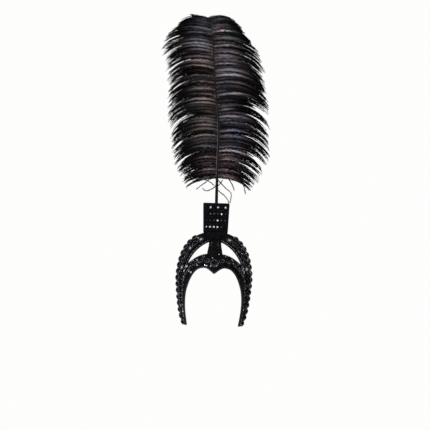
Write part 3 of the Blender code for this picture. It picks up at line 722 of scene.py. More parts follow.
# Cloth pieces -----------------------------------------------------------------------------


def both_halves(make, count):
    """Rings from the left tip over the middle to the right tip."""
    right = [make(share) for share in shares(count)]
    left = [[Vector((-p.x, p.y, p.z)) for p in ring] for ring in right[:0:-1]]
    return left + right


SEAM_ALLOWANCE = 1.7 * MM  # cloth tucked behind the rear band's rounded edge


def front_band():
    across = 14

    def ring(share):
        edge = front_across(share, 2 * PIPING_RADIUS + CLEARANCE)
        crown = 0.6 * MM
        sewn = min(1.0, max(0.0, (share - 0.45) / 0.08))
        back = 1 + sewn * SEAM_ALLOWANCE / front_width(share)
        inner = [front_point(share, v, 0.1 * MM) for v in shares(across, back - 0.004, edge + 0.02)]
        outer = []
        for i, v in enumerate(shares(across, edge + 0.02, back - 0.004)):
            bulge = crown * math.sin(math.pi * i / (across - 1))
            outer.append(front_point(share, v, FRONT_WALL - 0.4 * MM + bulge))
        face_side = [front_point(share, edge, k * FRONT_WALL) for k in (0.25, 0.5, 0.75)]
        back_side = [front_point(share, back, k * FRONT_WALL) for k in (0.75, 0.5, 0.25)]
        return inner + face_side + outer + back_side

    obj = sleeve("front_band_cloth", both_halves(ring, 120), CLOTH)
    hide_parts("front_band")


STITCH_LENGTH = 3.2 * MM
STITCH_WIDTH = 0.7 * MM
STITCH_PITCH = 5.2 * MM
PUCKER = 0.35 * MM
PUCKERS = 46  # along half of the rear band


def stitches(name, node, paths):
    """Hand stitches laid along paths, each path a list of points and its facing."""
    places = []
    for points, facing in paths:
        lengths = [0.0]
        for one, other in zip(points, points[1:]):
            lengths.append(lengths[-1] + (other - one).length)
        for i in range(int(lengths[-1] / STITCH_PITCH)):
            spots = []
            for where in ((i + 0.2) * STITCH_PITCH, (i + 0.8) * STITCH_PITCH):
                spots.append(Vector([np.interp(where, lengths, [p[k] for p in points]) for k in range(3)]))
            seat = frame_matrix((spots[0] + spots[1]) / 2, spots[1] - spots[0], facing)
            places.append(sized(seat, STITCH_LENGTH, STITCH_WIDTH, STITCH_WIDTH))
    obj = scatter(name, bead_base(), places, THREAD, True)
    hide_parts(node)


def rear_line(inside, back):
    """A line along the rear band's back face, a distance in from its outer or inner edge."""
    half = []
    for share in shares(90, 0, 0.97):
        low, high, outward = rear_frame(share)
        height = (high - low).length
        out = min(inside, 0.42 * height) if inside > 0 else height - min(-inside, 0.42 * height)
        point = low + outward * out
        half.append(point + Vector((0, rear_middle(point.z) + back, 0)))
    return [Vector((-p.x, p.y, p.z)) for p in half[:0:-1]] + half


def rear_band():
    def ring(share):
        low, high, outward = rear_frame(share)
        height = (high - low).length
        rounding = min(REAR_ROUNDING, ROUNDING_LIMIT * height, ROUNDING_LIMIT * REAR_THICKNESS)
        middle = rear_middle((low.z + high.z) / 2)
        half = REAR_THICKNESS / 2 - rounding
        corners = (
            (height - rounding, half, 0),
            (rounding, half, 90),
            (rounding, -half, 180),
            (height - rounding, -half, 270),
        )
        made = []
        for along, back, start in corners:
            for step in shares(7, 2, 88):
                angle = math.radians(start + step)
                out = along + rounding * math.cos(angle)
                deep = back + rounding * math.sin(angle)
                drawn = PUCKER * (0.5 + 0.5 * math.sin(share * PUCKERS * 2 * math.pi + out / (3 * MM)))
                near = abs(out / height - 0.5) * 2
                deep -= math.copysign(drawn * near, deep)
                made.append(low + outward * out + Vector((0, middle + deep, 0)))
        return made

    obj = sleeve("rear_band_cloth", both_halves(ring, 120), CLOTH)
    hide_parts("rear_band")
    back = REAR_THICKNESS / 2 - 0.25 * MM
    behind = Vector((0, 1, 0))
    lines = [(rear_line(5 * MM, back), behind), (rear_line(-5 * MM, back), behind)]
    stitches("rear_band_stitches", "rear_band", lines)


def piping_ring(centre, along, radius, wave, sides=12):
    frame = frame_matrix(centre, Vector((0.3, 1, 0.2)), along)
    made = []
    for i in range(sides):
        turn = 2 * math.pi * i / sides
        r = radius * (1 + 0.03 * math.sin(wave + turn * 2))
        made.append(frame @ Vector((r * math.cos(turn), r * math.sin(turn), 0)))
    return made


def piping(name, node, half):
    """Bias-cut satin over a cord, faintly twisted, along half a path and its mirror image."""
    path = [Vector((-p.x, p.y, p.z)) for p in half[:0:-1]] + half
    rings = []
    for i, point in enumerate(path):
        along = path[min(i + 1, len(path) - 1)] - path[max(i - 1, 0)]
        left = min((point - path[0]).length, (point - path[-1]).length) / PIPING_END
        closing = math.sqrt(max(0.12, 1 - max(0.0, 1 - left) ** 2))
        rings.append(piping_ring(point, along, (PIPING_RADIUS + PIPING_PROUD) * closing, i * 0.9))
    obj = sleeve(name, rings, SATIN)
    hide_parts(node)


def face_edge_piping():
    half = [
        front_point(share, front_across(share, PIPING_RADIUS), PIPING_RADIUS)
        for share in shares(170)
    ]
    piping("face_edge_satin", "face_edge_piping", half)


def crown_edge_piping():
    half = []
    for share in shares(220):
        if row_at(REAR_ROWS, share)[0] > CROWN_PIPING_TURN - 2:
            break
        low, _, outward = rear_frame(share)
        centre = low - outward * (CLEARANCE + PIPING_RADIUS)
        half.append(centre + Vector((0, rear_middle(low.z), 0)))
    piping("crown_edge_satin", "crown_edge_piping", half)


def centre_strap():
    across = 12
    rings = []
    for share in shares(70):
        under, over = [], []
        for side in shares(across, -0.97, 0.97):
            point, normal = strap_point(share, side), strap_normal(share, side)
            under.append(point + normal * 0.1 * MM)
            bulge = 0.3 * MM * math.cos(side * math.pi / 2)
            over.append(point + normal * (STRAP_WALL - 0.2 * MM + bulge))
        ends = []
        for side in (1, -1):
            point, normal = strap_point(share, side), strap_normal(share, side)
            ends.append([point + normal * STRAP_WALL * k for k in (0.25, 0.5, 0.75)])
        rings.append(under + ends[0] + over[::-1] + ends[1][::-1])
    obj = sleeve("centre_strap_cloth", rings, CLOTH)
    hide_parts("centre_strap")


def feather_holder():
    """Cloth-covered panel, drawn thinner towards its edges."""
    top = HOLDER_TOP
    foot, head = HOLDER_BOTTOM_WIDTH / 2, HOLDER_TOP_WIDTH / 2
    rings = []
    columns = 30
    for share in shares(40):
        ring = []
        for back in (False, True):
            for side in shares(columns, -1, 1) if not back else shares(columns, 1, -1):
                half = foot + (head - foot) * share
                edge = 1 - 0.03 * max(0.0, abs(share - 0.5) * 2 - 0.9) * 10
                x = side * half * edge
                low = rear_top(x) + CLEARANCE
                z = low + (top - low) * share
                near = min(1.0, (1 - abs(side)) * half / (2.2 * MM))
                ends = min(1.0, min(share, 1 - share) * HOLDER_HEIGHT / (2.0 * MM) + 0.35)
                deep = HOLDER_THICKNESS / 2 * (0.45 + 0.55 * math.sqrt(near)) * (0.75 + 0.25 * ends)
                ring.append(Vector((x, HOLDER_Y + (deep if back else -deep), z)))
        rings.append(ring)
    obj = sleeve("feather_holder_cloth", rings, CLOTH)
    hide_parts("feather_holder")
    inset, y = 4 * MM, HOLDER_Y + HOLDER_THICKNESS / 2 - 0.15 * MM
    low, high = rear_top(foot) + CLEARANCE + inset, top - inset
    corners = ((-foot + inset, low), (-head + inset, high), (head - inset, high), (foot - inset, low))
    run = [Vector((x, y, z)) for x, z in corners]
    lines = [([one, other], Vector((0, 1, 0))) for one, other in zip(run, run[1:])]
    stitches("feather_holder_stitches", "feather_holder", lines)


# Stones and beads -------------------------------------------------------------------------


def front_seat(share, across, lift):
    base = front_point(share, across)
    ahead = front_point(min(1, share + 0.01), across)
    along = ahead - front_point(max(0, share - 0.01), across)
    normal = hollow_normal(base)
    return frame_matrix(base + normal * lift, along, normal)


def face_row(share):
    low, high, outward = rear_frame(share)
    turn, inner, _ = row_at(REAR_ROWS, share)
    covered = 0.0
    if turn >= CROWN_PIPING_TURN:
        covered = FRONT_WALL + TRIM_CLEARANCE + TRIM_THICKNESS + CLEARANCE - inner * REAR_REACH
    lower = max(FACE_ROW_MARGIN, covered) + FACE_ROW_MARGIN
    upper = (high - low).length - EDGE_ROW_REACH
    return low + outward * (lower + upper) / 2, upper - lower, outward


def rear_along(share):
    return rear_frame(min(1, share + 0.004))[1] - rear_frame(max(0, share - 0.004))[1]


def edge_seat(share, lift=0.0):
    low, high, outward = rear_frame(share)
    rounding = min(REAR_ROUNDING, ROUNDING_LIMIT * (high - low).length)
    facing = (outward + FORWARD).normalized()
    corner = high - outward * rounding + Vector((0, rear_face(high.z) + rounding, 0))
    facet = rounding * math.cos(math.radians(REAR_CHAMFER))
    point = corner + facing * (facet + TRIM_CLEARANCE + lift)
    return frame_matrix(point, rear_along(share), facing)


TILTS = np.random.default_rng(17)
TILT = 3.5  # degrees by which hand-set stones lean
# share of the seed beads that are made pale crystal stones, as painted glints
GLINT_BEAD_SHARE = 0.03  # of the seed beads
GLINT_BEAD_DIAMETER = 3.0 * MM


def tilted(matrix):
    lean, roll = np.radians(TILTS.normal(0, TILT, 2))
    return matrix @ Matrix.Rotation(lean, 4, "X") @ Matrix.Rotation(roll, 4, "Y")


class Setting:
    """Stones and beads gathered for one piece."""

    def __init__(self, finish, slot, glint_share=GLINT_BEAD_SHARE, rim=None):
        self.finish, self.slot, self.glint_share = finish, slot, glint_share
        self.rim = rim or BEAD
        self.stones, self.rims, self.fill, self.bright = [], [], [], []
        self.taken = []

    def stone(self, matrix, length, width, height, rim=True):
        self.stones.append(sized(tilted(matrix), length, width, height))
        self.taken.append((matrix.inverted(), length / 2 + RIM_BEAD, width / 2 + RIM_BEAD))
        if not rim:
            return
        a, b = length / 2 + RIM_BEAD * 0.45, width / 2 + RIM_BEAD * 0.45
        count = max(8, round(math.pi * (a + b) / (RIM_BEAD * 1.12)))
        for i in range(count):
            turn = 2 * math.pi * i / count
            spot = Vector((a * math.cos(turn), b * math.sin(turn), RIM_BEAD * 0.35))
            self.rims.append(matrix @ Matrix.Translation(spot) @ Matrix.Diagonal((RIM_BEAD,) * 3 + (1,)))

    def free(self, point):
        for inverse, a, b in self.taken:
            spot = inverse @ point
            if (spot.x / (a + FILL_BEAD * 0.3)) ** 2 + (spot.y / (b + FILL_BEAD * 0.3)) ** 2 < 1:
                if abs(spot.z) < 6 * MM:
                    return False
        return True

    def bead(self, matrix, size=FILL_BEAD):
        if not self.free(matrix.translation):
            return
        # a share of the seed beads become pale crystal stones: painted glints
        if TILTS.uniform() < self.glint_share:
            self.bright.append(sized(tilted(matrix), GLINT_BEAD_DIAMETER, GLINT_BEAD_DIAMETER, GLINT_BEAD_DIAMETER * 0.5))
        else:
            self.fill.append(matrix @ Matrix.Diagonal((size,) * 3 + (1,)))

    def finish_all(self, name, node):
        groups = (
            ("cut", self.stones, cut_base(), self.finish, False),
            ("rims", self.rims, bead_base(), self.rim, True),
            ("seed", self.fill, bead_base(8, 4), JET_BEAD, True),
            # the pale crystal stones and beads are painted glints
            ("bright", self.bright, cut_base(), GLINT_CRYSTAL, False),
        )
        for word, places, base, finish, smooth in groups:
            if places:
                obj = scatter(f"{name}_{word}", base, places, finish, smooth)
                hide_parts(node)


def strip_beads(setting, seat_at, start, end, lanes, pitch, size=FILL_BEAD):
    """Rows of beads along a band, at even steps, staggered from lane to lane."""
    for lane, place in enumerate(lanes):
        fine = shares(160, start, end)
        points = [seat_at(share, place).translation for share in fine]
        lengths = [0.0]
        for one, other in zip(points, points[1:]):
            lengths.append(lengths[-1] + (other - one).length)
        count = int(lengths[-1] / pitch)
        wanted = [(i + 0.5 * (lane % 2)) * pitch for i in range(count)]
        for share in np.interp(wanted, lengths, fine):
            setting.bead(seat_at(float(share), place), size)


# Which of the front band's round stones are pale crystal ones, painted glints, counted from the brow
FRONT_GLINT_ROUNDS = {"left": (3, 4, 5, 6), "right": (4, 5, 7, 9)}


def front_stones(side, word):
    setting = Setting(JET, "jet_stone")
    lift = FRONT_WALL + TRIM_CLEARANCE
    turned = (lambda m: m) if side > 0 else mirrored
    row = (FRONT_TRIM_START, FRONT_TRIM_END, FRONT_OVALS)
    for share in even_places(lambda s: front_point(s, FRONT_OVAL_PLACE), *row):
        size = min(1.0, front_width(share) / FRONT_FULL_WIDTH)
        seat = turned(front_seat(share, FRONT_OVAL_PLACE, lift))
        setting.stone(seat, OVAL_LENGTH * size, OVAL_WIDTH * size, (OVAL_HEIGHT + 0.3 * MM) * size)
    rounds = even_places(lambda s: front_point(s, FRONT_ROUND_PLACE), *row, extra=0.5)[:-1]
    for index, share in enumerate(rounds):
        across = ROUND_DIAMETER * min(1.0, front_width(share) / FRONT_FULL_WIDTH)
        seat = turned(front_seat(share, FRONT_ROUND_PLACE, lift))
        setting.stone(seat, across, across, ROUND_HEIGHT)
        # these rounds take the pale crystal finish: painted glints
        if index in FRONT_GLINT_ROUNDS[word]:
            setting.bright.append(setting.stones.pop())

    def seat_at(share, lane):
        least = front_across(share, 2 * PIPING_RADIUS + 1.8 * MM)
        across = least + (0.955 - least) * lane
        return turned(front_seat(share, across, lift + 0.2 * MM))

    strip_beads(setting, seat_at, 0.0, 0.985, shares(9), FILL_PITCH)
    setting.finish_all(f"front_{word}", f"front_band_stones_{word}")


def rear_stones(side, word):
    turned = (lambda m: m) if side > 0 else mirrored
    face = Setting(JET, "jet_stone")
    row = (FACE_ROW_START, FACE_ROW_END, FACE_OVALS)
    for share in even_places(lambda s: face_row(s)[0], *row):
        middle, room, _ = face_row(share)
        point = middle + Vector((0, rear_face(middle.z) - 0.5 * MM, 0))
        across = min(OVAL_WIDTH, room)
        size = 0.5 + 0.5 * across / OVAL_WIDTH
        seat = turned(frame_matrix(point, rear_along(share), FORWARD))
        face.stone(seat, OVAL_LENGTH * size, across, OVAL_HEIGHT * size)
    edge = Setting(JET, "jet_stone")
    row = (EDGE_ROW_START, EDGE_ROW_END, EDGE_OVALS)
    for share in even_places(lambda s: edge_seat(s).translation, *row):
        edge.stone(turned(edge_seat(share)), OVAL_LENGTH, OVAL_WIDTH, OVAL_HEIGHT)
    face.taken += edge.taken

    def seat_at(share, lane):
        low, high, outward = rear_frame(share)
        inside, height = 1.6 * MM, (high - low).length
        out = inside + (height - inside - 3.6 * MM) * lane
        point = low + outward * out
        point += Vector((0, rear_face(point.z) - 0.2 * MM, 0))
        return turned(frame_matrix(point, rear_along(share), FORWARD))

    strip_beads(face, seat_at, 0.06, 0.98, shares(7), FILL_PITCH)
    strip_beads(edge, lambda s, lane: turned(edge_seat(s, -0.4 * MM)), 0.09, 0.985, (0,), FILL_PITCH)
    face.finish_all(f"rear_face_{word}", f"rear_face_stones_{word}")
    edge.finish_all(f"rear_edge_{word}", f"rear_edge_stones_{word}")


def strap_stones():
    setting = Setting(JET, "jet_stone", 0.0, JET_BEAD)

    def seat_at(share, side):
        point, normal = strap_point(share, side), strap_normal(share, side)
        along = strap_point(share + 0.01, side) - point
        return frame_matrix(point + normal * (STRAP_WALL + 0.5 * MM), along, normal)

    row = (STRAP_TRIM_START, STRAP_TRIM_END, STRAP_ROWS_OF_STONES)
    for share in even_places(lambda s: strap_point(s, 0), *row):
        for side in (-1, 1):
            seat = seat_at(share, side * STRAP_COLUMN_PITCH / STRAP_WIDTH)
            setting.stone(seat, ROUND_DIAMETER, ROUND_DIAMETER, ROUND_HEIGHT)
    lanes = [lane for lane in shares(11, -0.86, 0.86)]
    strip_beads(setting, seat_at, 0.1, 0.97, lanes, FILL_PITCH)
    setting.finish_all("strap", "strap_stones")


# Pale crystal stones, painted bright glints, and grey ones, painted dim glints, of the holder, the rest
# being black. Columns: row down, column
GLINT_STONES = ((0, 1), (0, 3), (0, 5), (1, 4), (2, 3), (3, 1), (3, 2), (3, 3))
DIM_GLINT_STONES = ((1, 2), (1, 3), (2, 2), (2, 4), (2, 5), (3, 0), (3, 4))


def holder_stones():
    setting = Setting(GLINT_CRYSTAL, "crystal_stone", 0.0, JET_BEAD)
    front = HOLDER_Y - HOLDER_THICKNESS / 2 - CLEARANCE
    top = HOLDER_TOP - HOLDER_TRIM_MARGIN
    dark, dim_glints = [], []
    for row in range(HOLDER_ROWS):
        z = top - HOLDER_TRIM_HEIGHT * (row + 0.5) / HOLDER_ROWS
        for column in range(HOLDER_COLUMNS):
            x = HOLDER_TRIM_WIDTH * ((column + 0.5) / HOLDER_COLUMNS - 0.5)
            seat = frame_matrix(Vector((x, front - 0.2 * MM, z)), Vector((1, 0, 0)), FORWARD)
            setting.stone(seat, ROUND_DIAMETER, ROUND_DIAMETER, ROUND_HEIGHT + 0.4 * MM)
            # the grey and the pale stones are painted dim and bright glints
            if (row, column) in DIM_GLINT_STONES:
                dim_glints.append(setting.stones.pop())
            elif (row, column) not in GLINT_STONES:
                dark.append(setting.stones.pop())

    def seat_at(share, lane):
        x = HOLDER_TRIM_WIDTH * (lane - 0.5) * 0.96
        z = top - HOLDER_TRIM_HEIGHT * share
        return frame_matrix(Vector((x, front - 0.1 * MM, z)), Vector((0, 0, -1)), FORWARD)

    strip_beads(setting, seat_at, 0.02, 0.98, shares(21), FILL_PITCH)
    setting.finish_all("holder", "holder_stones")
    for word, places, finish in (("dark", dark, JET), ("dim_glints", dim_glints, DIM_GLINT_FINISH)):
        obj = scatter(f"holder_{word}", cut_base(), places, finish)
        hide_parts("holder_stones")


def centre_stone():
    base = front_point(0, CENTRE_STONE_PLACE)
    normal = hollow_normal(base)
    place = frame_matrix(base + normal * (FRONT_WALL + CLEARANCE), Vector((1, 0, 0)), normal)
    setting = Setting(JET, "jet_stone")
    inner = place @ Matrix.Translation((0, 0, CENTRE_SETTING_HEIGHT / 2))
    size = CENTRE_STONE_DIAMETER
    setting.stones.append(sized(inner, size, size, CENTRE_STONE_HEIGHT))
    plate = sized(place, CENTRE_SETTING_DIAMETER, CENTRE_SETTING_DIAMETER, CENTRE_SETTING_HEIGHT)
    obj = scatter("centre_setting", cut_base(24), [plate], BEAD)
    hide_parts("centre_stone")
    ring = CENTRE_STONE_DIAMETER / 2 + 0.6 * MM
    count = 34
    for i in range(count):
        turn = 2 * math.pi * i / count
        spot = Vector((ring * math.cos(turn), ring * math.sin(turn), CENTRE_SETTING_HEIGHT))
        setting.rims.append(place @ Matrix.Translation(spot) @ Matrix.Diagonal((RIM_BEAD,) * 3 + (1,)))
    setting.finish_all("centre", "centre_stone")


# Plume ------------------------------------------------------------------------------------


def plume_stem():
    """Quill wound with thread, from inside the panel up to the foot of the vane."""
    low, high = HOLDER_TOP - 50 * MM, VANE_FOOT
    rings = []
    for share in shares(260):
        z = low + (high - low) * share
        radius = STEM_RADIUS + 0.5 * MM * (1 - share**3)
        radius *= 1 + 0.035 * math.sin(share * 260 * 0.9)
        x = rib_point(0).x * max(0.0, share - 0.3)
        ring = []
        for i in range(12):
            turn = 2 * math.pi * i / 12
            ring.append(Vector((x + radius * math.cos(turn), HOLDER_Y + radius * math.sin(turn), z)))
        rings.append(ring)
    obj = sleeve("stem_thread", rings, STEM)
    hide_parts("plume_stem")


def rib():
    rings = []
    for share in shares(120):
        point = rib_point(share)
        radius = RIB_FOOT_RADIUS + (RIB_TIP_RADIUS - RIB_FOOT_RADIUS) * share
        ring = []
        for i in range(14):
            turn = 2 * math.pi * i / 14
            groove = 1 - 0.22 * max(0.0, math.cos(turn + math.pi / 2)) ** 6
            offset = Vector((1.1 * math.cos(turn), 0.85 * math.sin(turn) * groove, 0))
            ring.append(point + radius * offset)
        rings.append(ring)
    ups = np.array(shares(120))[:, None, None]
    turns = (2 * math.pi * np.arange(14) / 14)[None, :, None]
    # painted light: the rib's left front side is painted paler, as if lit, in its lower part
    lit = np.exp(-(((turns - 3.6) / 0.4) ** 2)) + 0.15 * np.exp(-(((turns - 5.7) / 0.35) ** 2))
    pale = 0.16 * lit * np.clip((0.42 - ups) / 0.22, 0.06, 1)
    shade = pale * np.array([1.0, 0.97, 0.97]) + np.array([0.0022, 0.0014, 0.0016])
    obj = sleeve("plume_rib", rings, RIB, shade)
    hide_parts("ostrich_plume")


def ribbons(paths, widths, facing):
    """Thin tapered ribbons along many paths of equal length. Gives points and triangles."""
    count, length, _ = paths.shape
    along = np.gradient(paths, axis=1)
    across = np.cross(along, facing)
    across /= np.linalg.norm(across, axis=2, keepdims=True) + 1e-12
    half = across * widths[..., None] / 2
    points = np.stack([paths - half, paths + half], axis=2).reshape(count, length * 2, 3)
    steps = []
    for i in range(length - 1):
        a = 2 * i
        steps += [(a, a + 1, a + 3), (a, a + 3, a + 2)]
    faces = np.array(steps)[None] + (np.arange(count) * length * 2)[:, None, None]
    return points.reshape(-1, 3), faces.reshape(-1, 3)


def vane_reach(heights, side):
    table = np.array(VANE_ROWS, float)
    column = 1 if side < 0 else 2
    return np.interp(heights / MM, table[:, 0], table[:, column]) * MM


def clump_path(up, side, rng, loose=1.0):
    """Middle line of one clump of barbs, from the rib out and over to its drooping tip."""
    root = np.array(rib_point(up))
    table = np.array(BARB_ROWS)
    first = 1 if side < 0 else 3
    rise = math.radians(np.interp(up, table[:, 0], table[:, first]) + loose * rng.normal(0, 1.6))
    fall = math.radians(np.interp(up, table[:, 0], table[:, first + 1]) + loose * rng.normal(0, 5))
    t = np.linspace(0, 1, BARB_POINTS)
    angle = rise + (fall - rise) * t**1.25
    length = 0.14
    for _ in range(8):
        step = length / (BARB_POINTS - 1)
        middle = (angle[:-1] + angle[1:]) / 2
        x = np.concatenate([[0], np.cumsum(np.cos(middle))]) * step * side
        z = np.concatenate([[0], np.cumsum(np.sin(middle))]) * step
        tip_z = root[2] + z[-1]
        wanted = float(vane_reach(np.array([tip_z]), side)[0])
        length *= max(0.6, min(1.5, (wanted - side * root[0]) / abs(x[-1])))
    cut = 1.0
    for row_side, height, half_width, shorter in GAP_ROWS:
        if row_side == side and abs(tip_z / MM - height) < half_width:
            cut = shorter
    return root + np.stack([x, 0 * x, z], axis=1), length, cut


def dye(side, ups, places):
    """Cast of the dye at shares up the rib and out along the barbs."""
    tint = np.ones((len(ups), 3))
    for row_side, up, out, spread_up, spread_out, *colour in DYE_ROWS:
        if row_side == side:
            share = np.exp(-(((ups - up) / spread_up) ** 2) - ((places - out) / spread_out) ** 2)
            tint += CAST * share[:, None] * (np.array(colour) - 1)
    return tint


def vane(side, layer, word):
    """One layer of one side of the plume: clumps of barbs, each fringed with fine barbules."""
    rng = np.random.default_rng(11 + 2 * side + 7 * layer)
    barbs, lengths, tones, painted_sheens, ups, bulks = [], [], [], [], [], []
    t = np.linspace(0, 1, BARB_POINTS)
    pitch = VANE_ROOT_LENGTH / CLUMPS
    for clump in range(CLUMPS):
        even = (clump + 0.5) / CLUMPS
        in_step = side < 0 and 0.66 < even < 0.86
        shift = 0.0 if layer < 0 or in_step else 0.5
        jitter = 0.12 if in_step else 0.3
        up = (clump + 0.25 + shift + rng.uniform(-jitter, jitter)) / CLUMPS
        up = min(0.985, max(0.0, up))
        ragged = 1 + 2.5 * max(0.0, up - 0.85) / 0.15
        line, length, gap = clump_path(up, side, rng, ragged)
        depth = layer * rng.uniform(0.15, 1.0) * LAYER_DEPTH
        tone = rng.uniform(0.5, 1.4)
        # painted sheen: each clump gets a lighter streak painted along its upper edge near the rib, where
        # light falls, made weaker near the top
        painted_sheen = rng.uniform(0.3, 1.0) if rng.uniform() < 0.8 else rng.uniform(0.05, 0.25)
        painted_sheen *= 1.8 if rng.uniform() < 0.12 else 1.0
        painted_sheen *= 1 - 0.82 * math.exp(-(((up - 0.96) / 0.17) ** 2))
        gap *= 1.04 - (0.16 if up < 0.78 else 0.3) * rng.uniform() ** 1.5
        for barb in range(BARBS_PER_CLUMP):
            place = (barb + rng.uniform(0.2, 0.8)) / BARBS_PER_CLUMP - 0.5
            cut = gap * (1.02 - 0.11 * abs(rng.normal(0, 0.6)) - 0.12 * abs(place))
            stretched = np.stack([np.interp(t * cut, t, line[:, k]) for k in range(3)], axis=1)
            if cut > 1:
                stretched[-1] += (line[-1] - line[-2]) * (cut - 1) * (BARB_POINTS - 1)
            along = np.gradient(stretched, axis=0)
            along /= np.linalg.norm(along, axis=1, keepdims=True)
            normal = np.stack([-along[:, 2], along[:, 1] * 0, along[:, 0]], axis=1) * side
            closing = 0.95 * t**1.1 if in_step else 0.90 * t**1.7
            spread = place * pitch * (1.25 - closing)
            wander = rng.normal(0, 1.0 * MM) * np.sin(math.pi * t) + rng.normal(0, 1.5 * MM) * t**1.5
            path = stretched + normal * (spread + wander)[:, None]
            path[:, 1] += depth * np.sin(math.pi * 0.62 * t) + rng.normal(0, 2.6 * MM) * t**0.7
            barbs.append(path)
            lengths.append(length * cut)
            tones.append(tone * rng.uniform(0.6, 1.3))
            painted_sheens.append(painted_sheen * math.exp(-(((place - 0.18) / 0.2) ** 2)))
            ups.append(up)
            bulks.append(1.0)
    for filler in range(DOWN_BARBS if layer > 0 else 0):
        up = min(0.985, (filler + rng.uniform(0.1, 0.9)) / DOWN_BARBS)
        line, length, gap = clump_path(up, side, rng, 0.4)
        cut = gap * rng.uniform(0.60, 0.93)
        path = np.stack([np.interp(t * cut, t, line[:, k]) for k in range(3)], axis=1)
        path[:, 1] += rng.normal(0, 3 * MM) * t
        barbs.append(path)
        lengths.append(length * cut)
        tones.append(rng.uniform(0.5, 1.1))
        painted_sheens.append(0.0)
        ups.append(up)
        bulks.append(DOWN_BULK)
    barbs, bulks = np.array(barbs), np.array(bulks)
    tones, painted_sheens, ups = np.array(tones), np.array(painted_sheens), np.array(ups)
    widths = bulks[:, None] * ((1 - t) ** 0.5 + 0.6 + 1.2 * np.exp(-t / 0.04)) * MM
    facing = np.array([0, -1, 0.35]) + rng.normal(0, 0.35, (len(barbs), 1, 3))
    points, faces = ribbons(barbs, widths, facing)
    owner = np.repeat(np.arange(len(barbs)), BARB_POINTS * 2)
    out = np.tile(np.repeat(t, 2), len(barbs))

    paths, owners, outs = [], [], []
    for index, (path, length) in enumerate(zip(barbs, lengths)):
        count = int(length / BARBULE_PITCH)
        for hand in (-1, 1):
            place = 0.004 + 0.996 * ((np.arange(count) + rng.uniform(0, 1, count)) / count) ** 1.12
            spot, ahead, back = (
                np.stack([np.interp(where, t, path[:, k]) for k in range(3)], axis=1)
                for where in (place, place + 0.02, place - 0.02)
            )
            along = ahead - back
            along /= np.linalg.norm(along, axis=1, keepdims=True)
            up_way = np.stack([-along[:, 2], np.zeros(count), along[:, 0]], axis=1) * side
            lean = np.radians(rng.normal(27, 8, count) * (1 - 0.6 * place))
            roll = rng.uniform(-1.1, 1.1, count)
            aside = np.array([0.0, 1.0, 0.0])
            sway = hand * (up_way * np.cos(roll)[:, None] + aside * np.sin(roll)[:, None])
            first = along * np.cos(lean)[:, None] + sway * np.sin(lean)[:, None]
            reach = BARBULE_LENGTH * rng.uniform(0.55, 1.15, count)
            reach *= (0.6 + 0.6 * np.sin(math.pi * np.clip(place * 0.8 + 0.1, 0, 1))) * (1.05 - 0.55 * place)
            late = along + first * 0.8 + np.array([0, 0, -0.15])
            late /= np.linalg.norm(late, axis=1, keepdims=True)
            one = spot + first * (reach * 0.5)[:, None]
            paths.append(np.stack([spot, one, one + late * (reach * 0.5)[:, None]], axis=1))
            owners.append(np.full(count, index))
            outs.append(place)
    paths, owners, outs = np.concatenate(paths), np.concatenate(owners), np.concatenate(outs)
    count = len(paths)
    widths = bulks[owners][:, None] * np.array(BARBULE_WIDTHS) * MM
    facing = np.array([0, -1, 0.4]) + rng.normal(0, 0.45, (count, 1, 3))
    fine, _ = ribbons(paths, widths, facing)
    # the last two points of a barbule fall together, so its last quad is one triangle
    fine = fine.reshape(count, 6, 3)
    fine = np.concatenate([fine[:, :4], fine[:, 4:].mean(axis=1, keepdims=True)], axis=1)
    shape = np.array([(0, 1, 3), (0, 3, 2), (2, 3, 4)])
    fine_faces = (shape[None] + (np.arange(count) * 5)[:, None, None]).reshape(-1, 3)
    faces = np.concatenate([faces, fine_faces + len(points)])
    points = np.concatenate([points, fine.reshape(-1, 3)])
    owner = np.concatenate([owner, np.repeat(owners, 5)])
    out = np.concatenate([out, np.repeat(outs, 5)])
    # painted highlight near the rib, added to the dark tone of the barbs
    painted_highlight = painted_sheens[owner] * np.exp(-(((out - 0.24) / 0.24) ** 2))
    level = DARK * tones[owner] * (1 + 1.2 * np.exp(-out / 0.3)) + PAINTED_SHEEN[side] * painted_highlight
    tint = dye(side, ups[owner], out)
    shade = level[:, None] * (1 + (tint - 1) * (1 - 0.6 * painted_highlight[:, None]))
    obj = add_mesh(f"plume_vane_{word}", points, faces, FEATHER, False, shade)
    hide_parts("ostrich_plume")


# Loose strands at the foot of the vane, in millimetres. Each is a run of x, depth, z
STRAYS = (
    ((2, 0, 165), (9, -4, 158), (22, -6, 145), (36, -7, 133), (37, -6, 121), (35, -3, 108)),
    ((1, 0, 140), (12, -5, 131), (21, -6, 124), (29, -5, 114), (32, -3, 108)),
    ((30, -4, 168), (38, -5, 156), (45, -6, 141)),
    ((62, -3, 165), (70, -5, 150), (74, -6, 133)),
    ((14, -2, 166), (8, -4, 156), (2, -5, 150)),
    ((-11, -3, 176), (-28, -5, 160), (-53, -6, 140)),
    ((-41, -2, 168), (-24, -5, 162), (-7, -4, 151)),
    ((-2, 0, 150), (-14, -4, 141), (-28, -5, 136), (-36, -5, 141)),
)


